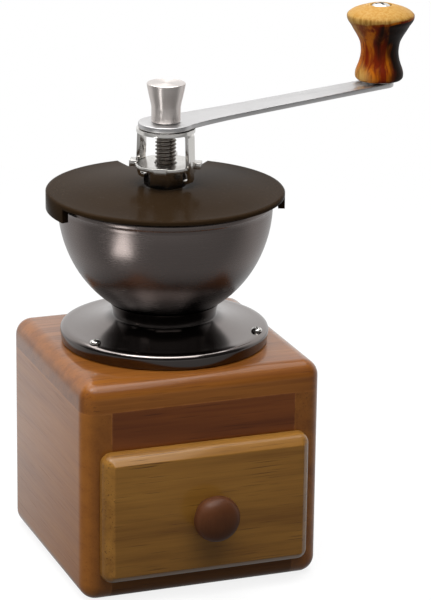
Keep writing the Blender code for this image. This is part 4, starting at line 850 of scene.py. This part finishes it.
CAGE_TURN = math.radians(-52.7)
LUG_TURN = math.radians(-28.7)
RING_LOW = 162.2
RING_HIGH = 163.8
boss = flat_piece("hex_boss", arc(7.5, 0, 300, 5), 149.3, 163.0, LUG_TURN + math.radians(-15))
round_edges(boss, 0.35, 3, 40)
nut = rod("milled_nut", 12.3, RING_LOW, RING_HIGH, sides=96)
drill(nut, boss, operation="UNION")
for k in range(4):
    lug = saw_block("lug", (11.3, -2.5, RING_LOW), (14.3, 2.5, 164.7))
    drill(nut, place_mesh(lug, Matrix.Rotation(LUG_TURN + k * QUARTER, 4, "Z")), operation="UNION")
drill(nut, rod("tap", 4.5, 145, 168, sides=64))
for side in (0, math.pi):
    notch = saw_block("notch", (10.5, -2.7, 158), (18, 2.7, 168))
    drill(nut, place_mesh(notch, Matrix.Rotation(CAGE_TURN + side, 4, "Z")))
round_edges(nut, 0.28, 3, 35)
nut_finish = metal("milled_nut_steel", (0.68, 0.66, 0.63), 0.24, 0.10, 0.10, run=(700, 700, 120))
fit(smooth_faces(nut, 40), nut_finish, "adjuster", "bright_steel", "adjusting_nut")


# The stopper: a pressed steel disc under the crank with two legs bent down over the nut.
# It keeps the nut from turning on the shaft, and its hooks turn in under the nut's ring.

def cage_strip():
    """The legs, hooks and top as one bent strip."""
    top, low = 177.35, 157.35
    shoulder, foot = 11.3, 11.86
    corner = 2.0
    side = [(shoulder - corner * (1 - math.sin(a)), top - corner * (1 - math.cos(a)))
            for a in (math.radians(15 * k) for k in range(7))]
    hook = [(foot, low + 1.4), (foot - 0.4, low + 0.4), (foot - 1.4, low), (foot - 2.6, low)]
    middle = side + hook
    path = [(-x, z) for x, z in reversed(middle)] + middle
    outer, inner_side = [], []
    for k, (x, z) in enumerate(path):
        x0, z0 = path[max(k - 1, 0)]
        x1, z1 = path[min(k + 1, len(path) - 1)]
        run = Vector((x1 - x0, z1 - z0)).normalized() * 0.75
        outer.append((x - run.y, z + run.x))
        inner_side.append((x + run.y, z - run.x))
    strip = flat_piece("cage_strip", outer + inner_side[::-1], -2.3, 2.3)
    return place_mesh(strip, Matrix.Rotation(QUARTER, 4, "X"))


cage = cage_strip()
cage.name = "bent_cage"
drill(cage, rod("cage_disc", 11.7, 176.6, 178.1, sides=96), operation="UNION")
for side in (-1, 1):
    near, far = sorted((side * 1.4, side * 6.0))
    drill(cage, saw_block("waste", (-16, near, 150), (16, far, 161.2)))
drill(cage, rod("cage_hole", 3.7, 170, 182, sides=48))
place_mesh(cage, Matrix.Rotation(CAGE_TURN, 4, "Z"))
round_edges(cage, 0.28, 3, 35)
cage_finish = metal("pressed_cage_steel", (0.74, 0.72, 0.69), 0.14, 0.10, 0.10, run=(420, 420, 40))
fit(smooth_faces(cage, 40), cage_finish, "crank", "bright_steel", "stopper_cage")


# The crank's arm: stainless steel plate, a round hub that tapers into a slim arm, brushed along it.
# Two flats on the shaft drive it.

CRANK_TURN = math.radians(19.4)
ARM_LOW = 178.4
ARM_HIGH = 180.4
CRANK_REACH = 114.5
arm_side = fair([(5.16, 9.71), (7.4, 9.3), (9.5, 8.95), (15.0, 8.2), (22.9, 7.59), (37.8, 7.05), (75.0, 6.55),
                 (114.9, 6.19)], 4)
arm_outline = arc(11.0, 62, 298, 48)[:-1] + [(x, -y) for x, y in arm_side]
arm_outline += arc(6.2, -86, 86, 24, (CRANK_REACH, 0))[1:-1] + arm_side[::-1][:-1]
arm = flat_piece("crank_bar", arm_outline, ARM_LOW, ARM_HIGH)
drill(arm, rod("hub_hole", 3.7, 170, 190), rod("spindle_hole", 3.0, 170, 190, (CRANK_REACH, 0)))
round_edges(arm, 0.3, 3, 60)
place_mesh(arm, Matrix.Rotation(CRANK_TURN, 4, "Z"))
arm_finish = metal("brushed_arm_steel", (0.560, 0.552, 0.552), 0.36, 0.16, 0.06, run=(60, 3200, 3200),
                   lay=(0, 0, -CRANK_TURN), depth=0.00003, edge=0.0004)
fit(smooth_faces(arm, 40), arm_finish, "crank", "brushed_steel", "crank_arm")


# The cap nut: turned steel, straight below and flared to the top, screwed down on the crank.

cap_profile = [(0.0, 196.2), (7.35, 196.2), (7.6, 196.05), (7.7, 195.8)]
cap_profile += fair([(7.62, 195.3), (7.2, 193.0), (6.62, 190.4), (6.08, 188.0), (5.84, 186.6),
                     (5.8, 185.6)])
cap_profile += [(5.8, 181.1), (5.65, 180.75), (5.4, 180.7), (3.7, 180.7), (3.7, 191.9), (0.0, 191.9)]
cap_finish = metal("turned_cap_steel", (0.66, 0.61, 0.58), 0.35, 0.14, 0.06, run=(3200, 1, 3200), spun=True,
                   depth=0.00004, edge=0.0003, streaks=0.6)
cap = smooth_faces(turn("flared_cap_nut", cap_profile), 30)
fit(cap, cap_finish, "cap", "brushed_steel", "cap_nut")


# The crank's grip: turned from streaked olive wood, lacquered, and free to spin on a steel spindle.
# A domed screw in the recess on its top keeps it on.

GRIP_LOW = 181.5
GRIP_HEIGHT = 31.5
GRIP_RADIUS = 14.1
grip_shares = [(1.00, 0.37), (0.975, 0.56), (0.935, 0.81), (0.885, 0.97), (0.845, 1.00), (0.795, 0.97),
               (0.735, 0.88), (0.665, 0.79), (0.60, 0.70), (0.52, 0.61), (0.455, 0.575), (0.37, 0.56),
               (0.29, 0.58), (0.215, 0.625), (0.15, 0.68), (0.09, 0.715), (0.03, 0.71), (0.0, 0.66)]
grip_side = fair([(GRIP_RADIUS * out, GRIP_LOW + GRIP_HEIGHT * up) for up, out in grip_shares], 4)
grip_bore = [(3.1, GRIP_LOW), (3.1, 210.8), (4.5, 210.8), (4.5, 213.0)]
grip = turn("turned_grip", grip_side + grip_bore, closed=True)
round_edges(grip, 0.25, 3, 50)


def streaked_wood(name, centre):
    """Olive wood: pale streaks in a red and nearly black heart, running up the grip, with painted shade down
    one side.
    """
    made, tree, shader = new_finish(name)
    place = put(tree, "TexCoord").outputs
    local = put(tree, "Mapping", {"Vector": place["Object"], "Location": centre}).outputs[0]
    warp = cloud(tree, local, (230, 230, 34), 4, 0.6, 0.8)
    heart = cloud(tree, local, (75, 75, 22), 3, 0.5, 1.0)
    fine = cloud(tree, local, (900, 900, 50), 3, 0.6, 0.2)
    split = axes_of(tree, local)
    # Painted shade: darker towards +X and -Y, the side turned away from the lamps on the left.
    side = sums(tree, "MULTIPLY_ADD", split[0], 40.0, sums(tree, "MULTIPLY", split[1], -14.0))
    dark = sums(tree, "ADD", heart, side)
    # Paler on the top above the shoulder and darker below it: partly the wood's own tone, partly painted
    # shade under the shoulder.
    dark = sums(tree, "MULTIPLY_ADD", step_between(tree, split[2], 0.0245, 0.0280), -1.3, dark)
    # Paler towards the foot of the grip.
    dark = sums(tree, "MULTIPLY_ADD", step_between(tree, split[2], 0.013, 0.001), -0.30,
                sums(tree, "ADD", dark, 0.06))
    red = blended(tree, step_between(tree, warp, 0.40, 0.62), (0.150, 0.014, 0.002, 1),
                  (0.42, 0.115, 0.004, 1))
    gold = blended(tree, step_between(tree, fine, 0.35, 0.7), (0.42, 0.245, 0.070, 1),
                   (0.36, 0.180, 0.032, 1))
    colour = blended(tree, step_between(tree, dark, -0.15, 0.22), gold, red)
    colour = blended(tree, step_between(tree, dark, 0.42, 0.66), colour, (0.012, 0.006, 0.004, 1))
    sideways = step_between(tree, axes_of(tree, place["Normal"])[2], 0.75, 0.25)
    vein = step_between(tree, fine, 0.45, 0.75)
    vein = sums(tree, "MULTIPLY", vein, sums(tree, "MULTIPLY", sideways, 0.45))
    colour = blended(tree, vein, colour, (0.05, 0.014, 0.005, 1))
    rough = sums(tree, "MULTIPLY_ADD", fine, 0.10, 0.34)
    feed(tree, shader, {"Base Color": colour, "Roughness": rough, "Specular IOR Level": 0.05,
                        "Normal": raised(tree, fine, 0.00003, 0.4)})
    return made


GRIP_X = CRANK_REACH * math.cos(CRANK_TURN)
GRIP_Y = CRANK_REACH * math.sin(CRANK_TURN)
at_grip = shifted(GRIP_X, GRIP_Y, 0)
grip_finish = streaked_wood("streaked_olive_wood", (-GRIP_X * MM, -GRIP_Y * MM, -GRIP_LOW * MM))
fit(smooth_faces(place_mesh(grip, at_grip), 40), grip_finish, "grip", "grip_wood", "crank_knob")

pin = turn("grip_spindle", [(0.0, 209.6), (2.6, 209.6), (2.8, 209.4), (2.8, 178.5), (2.7, 178.4),
                            (0.0, 178.4)], 48)
fit(smooth_faces(place_mesh(pin, at_grip)), steel_finish, "crank", "bright_steel", "knob_spindle")
thin = washer("grip_washer", 3.1, 6.8, 180.7, 181.2, 0.1)
fit(place_mesh(thin, at_grip), steel_finish, "crank", "bright_steel", "knob_washer")
grip_screw = pan_head_screw("grip_screw", 1.3, 4.2, 2.6, -9.2, 64)
place_mesh(grip_screw, shifted(GRIP_X, GRIP_Y, 211.1))
fit(grip_screw, screw_finish, "crank", "bright_steel", "knob_screw")


# The studio: a pale floor whose reflections carry painted shade, a white sweep behind that the metal mirrors,
# and a dark room in front.
# The camera stands where the photograph's stood.

bearing = math.radians(20.71)
towards_camera = (-math.sin(bearing), -math.cos(bearing), 0.0)

bpy.ops.mesh.primitive_plane_add(size=12.0, location=(0, 0, 0))
floor = bpy.context.object
floor.name = "studio_floor"
floor_paint, tree, shader = new_finish("pale_floor_paint")
ray = put(tree, "LightPath").outputs
# The camera sees the floor white; bounced light sees it dark grey, so the box's undersides get little light
# from it.
pale = blended(tree, ray["Is Camera Ray"], (0.11, 0.11, 0.11, 1), (1, 1, 1, 1))
feed(tree, shader, {"Base Color": pale, "Roughness": 0.7, "Specular IOR Level": 0.0})
place = put(tree, "TexCoord").outputs["Object"]
forward = dot(tree, place, towards_camera)
# Painted shade in the floor as the metal and lacquer mirror it: bright behind the box, darkest just in front
# of it.
painted_floor_reflection = put(tree, "ValToRGB", {0: sums(tree, "ADD", forward, 0.5)})
stops = painted_floor_reflection.color_ramp.elements
for spot, level in ((0.38, 0.90), (0.56, 0.34), (0.68, 0.36), (0.88, 0.42), (0.98, 0.60)):
    stop = stops.new(spot)
    stop.color = (level, level, level, 1)
stops.remove(stops[0])
stops.remove(stops[-1])
mirrored = put(tree, "Emission", {"Color": painted_floor_reflection.outputs[0], "Strength": 1.0})
white = put(tree, "Emission", {"Color": (1, 1, 1, 1), "Strength": 1.0})
shown = put(tree, "MixShader", {0: sums(tree, "MULTIPLY", ray["Is Glossy Ray"], 0.8), 1: shader.outputs[0],
                                2: mirrored.outputs[0]})
reach = put(tree, "VectorMath", {0: place}, operation="LENGTH").outputs["Value"]
fade = sums(tree, "MULTIPLY_ADD", step_between(tree, reach, 0.12, 0.6), 0.15, 0.85)
shown = put(tree, "MixShader", {0: sums(tree, "MULTIPLY", ray["Is Camera Ray"], fade), 1: shown.outputs[0],
                                2: white.outputs[0]})
tree.links.new(shown.outputs[0], tree.nodes["Material Output"].inputs["Surface"])
floor.data.materials.append(floor_paint)

world = bpy.data.worlds.new("studio_surround")
bpy.context.scene.world = world
world.use_nodes = True
tree = world.node_tree
tree.nodes.clear()
ray = put(tree, "LightPath").outputs
direction = put(tree, "TexCoord").outputs["Generated"]
forward = dot(tree, direction, towards_camera)
around = blended(tree, step_between(tree, forward, -0.60, 0.0), (1.0, 1.0, 1.0, 1), (0.05, 0.047, 0.046, 1))
lit = put(tree, "Background", {"Color": (1, 1, 1, 1), "Strength": 0.23})
mirrored = put(tree, "Background", {"Color": around, "Strength": 1.0})
plain = put(tree, "Background", {"Color": (1, 1, 1, 1), "Strength": 1.0})
first = put(tree, "MixShader", {0: sums(tree, "MAXIMUM", ray["Is Glossy Ray"], ray["Is Transmission Ray"]),
                                1: lit.outputs[0], 2: mirrored.outputs[0]})
second = put(tree, "MixShader", {0: ray["Is Camera Ray"], 1: first.outputs[0], 2: plain.outputs[0]})
tree.links.new(second.outputs[0], put(tree, "OutputWorld").inputs["Surface"])


def soft_lamp(name, place, aim, size, power):
    """A square or oblong softbox that points at a spot."""
    data = bpy.data.lights.new(name, "AREA")
    data.shape = "RECTANGLE"
    data.size, data.size_y = size
    data.energy = power
    lamp = bpy.data.objects.new(name, data)
    lamp.location = place
    lamp.rotation_euler = (Vector(aim) - Vector(place)).to_track_quat("-Z", "Y").to_euler()
    lamp.visible_camera = False
    bpy.context.scene.collection.objects.link(lamp)
    return lamp


fill = soft_lamp("left_fill", (-1.05, -0.12, 0.42), (0, 0, 0.05), (0.5, 0.5), 4.0)
fill.visible_glossy = False
soft_lamp("front_softbox", (-0.06, -0.42, 1.05), (0, 0, 0.08), (0.85, 0.85), 7.5)
soft_lamp("top_softbox", (-0.10, 0.14, 1.15), (0, 0, 0.1), (1.5, 1.5), 20.0)
strip = soft_lamp("high_strip", (-0.444, -0.207, 0.905), (0, 0, 0.15), (0.35, 0.35), 2.6)
strip.visible_diffuse = False
card = soft_lamp("hopper_card", (-0.1195, -0.073, 0.1), (-0.1195, -0.073, 1.0), (0.115, 0.028), 0.045)
card.rotation_euler = (math.pi, 0, math.radians(31.4))
card.visible_diffuse = False

SENSOR = 36.0
PHOTO_FOCUS = 2948.68            # in the photograph's pixels
PHOTO_WIDTH = 431
pitch = math.radians(17.72)
roll = math.radians(0.77)
distance = 1.1857
back = Vector((-math.sin(bearing) * math.cos(pitch), -math.cos(bearing) * math.cos(pitch), math.sin(pitch)))
right = (-back).cross(Vector((0, 0, 1))).normalized()
up = right.cross(-back)
right, up = (math.cos(roll) * right + math.sin(roll) * up, math.cos(roll) * up - math.sin(roll) * right)
target = right * 0.02051 + Vector((0, 0, 0.10654))
camera = bpy.data.objects.new("studio_camera", bpy.data.cameras.new("studio_camera"))
bpy.context.scene.collection.objects.link(camera)
pose = Matrix((right, up, back)).transposed().to_4x4()
pose.translation = target + back * distance
camera.matrix_world = pose
camera.data.sensor_fit = "HORIZONTAL"
camera.data.sensor_width = SENSOR
camera.data.lens = SENSOR * PHOTO_FOCUS / PHOTO_WIDTH
camera.data.clip_end = 20.0
bpy.context.scene.camera = camera
bpy.context.scene.view_settings.view_transform = "Standard"
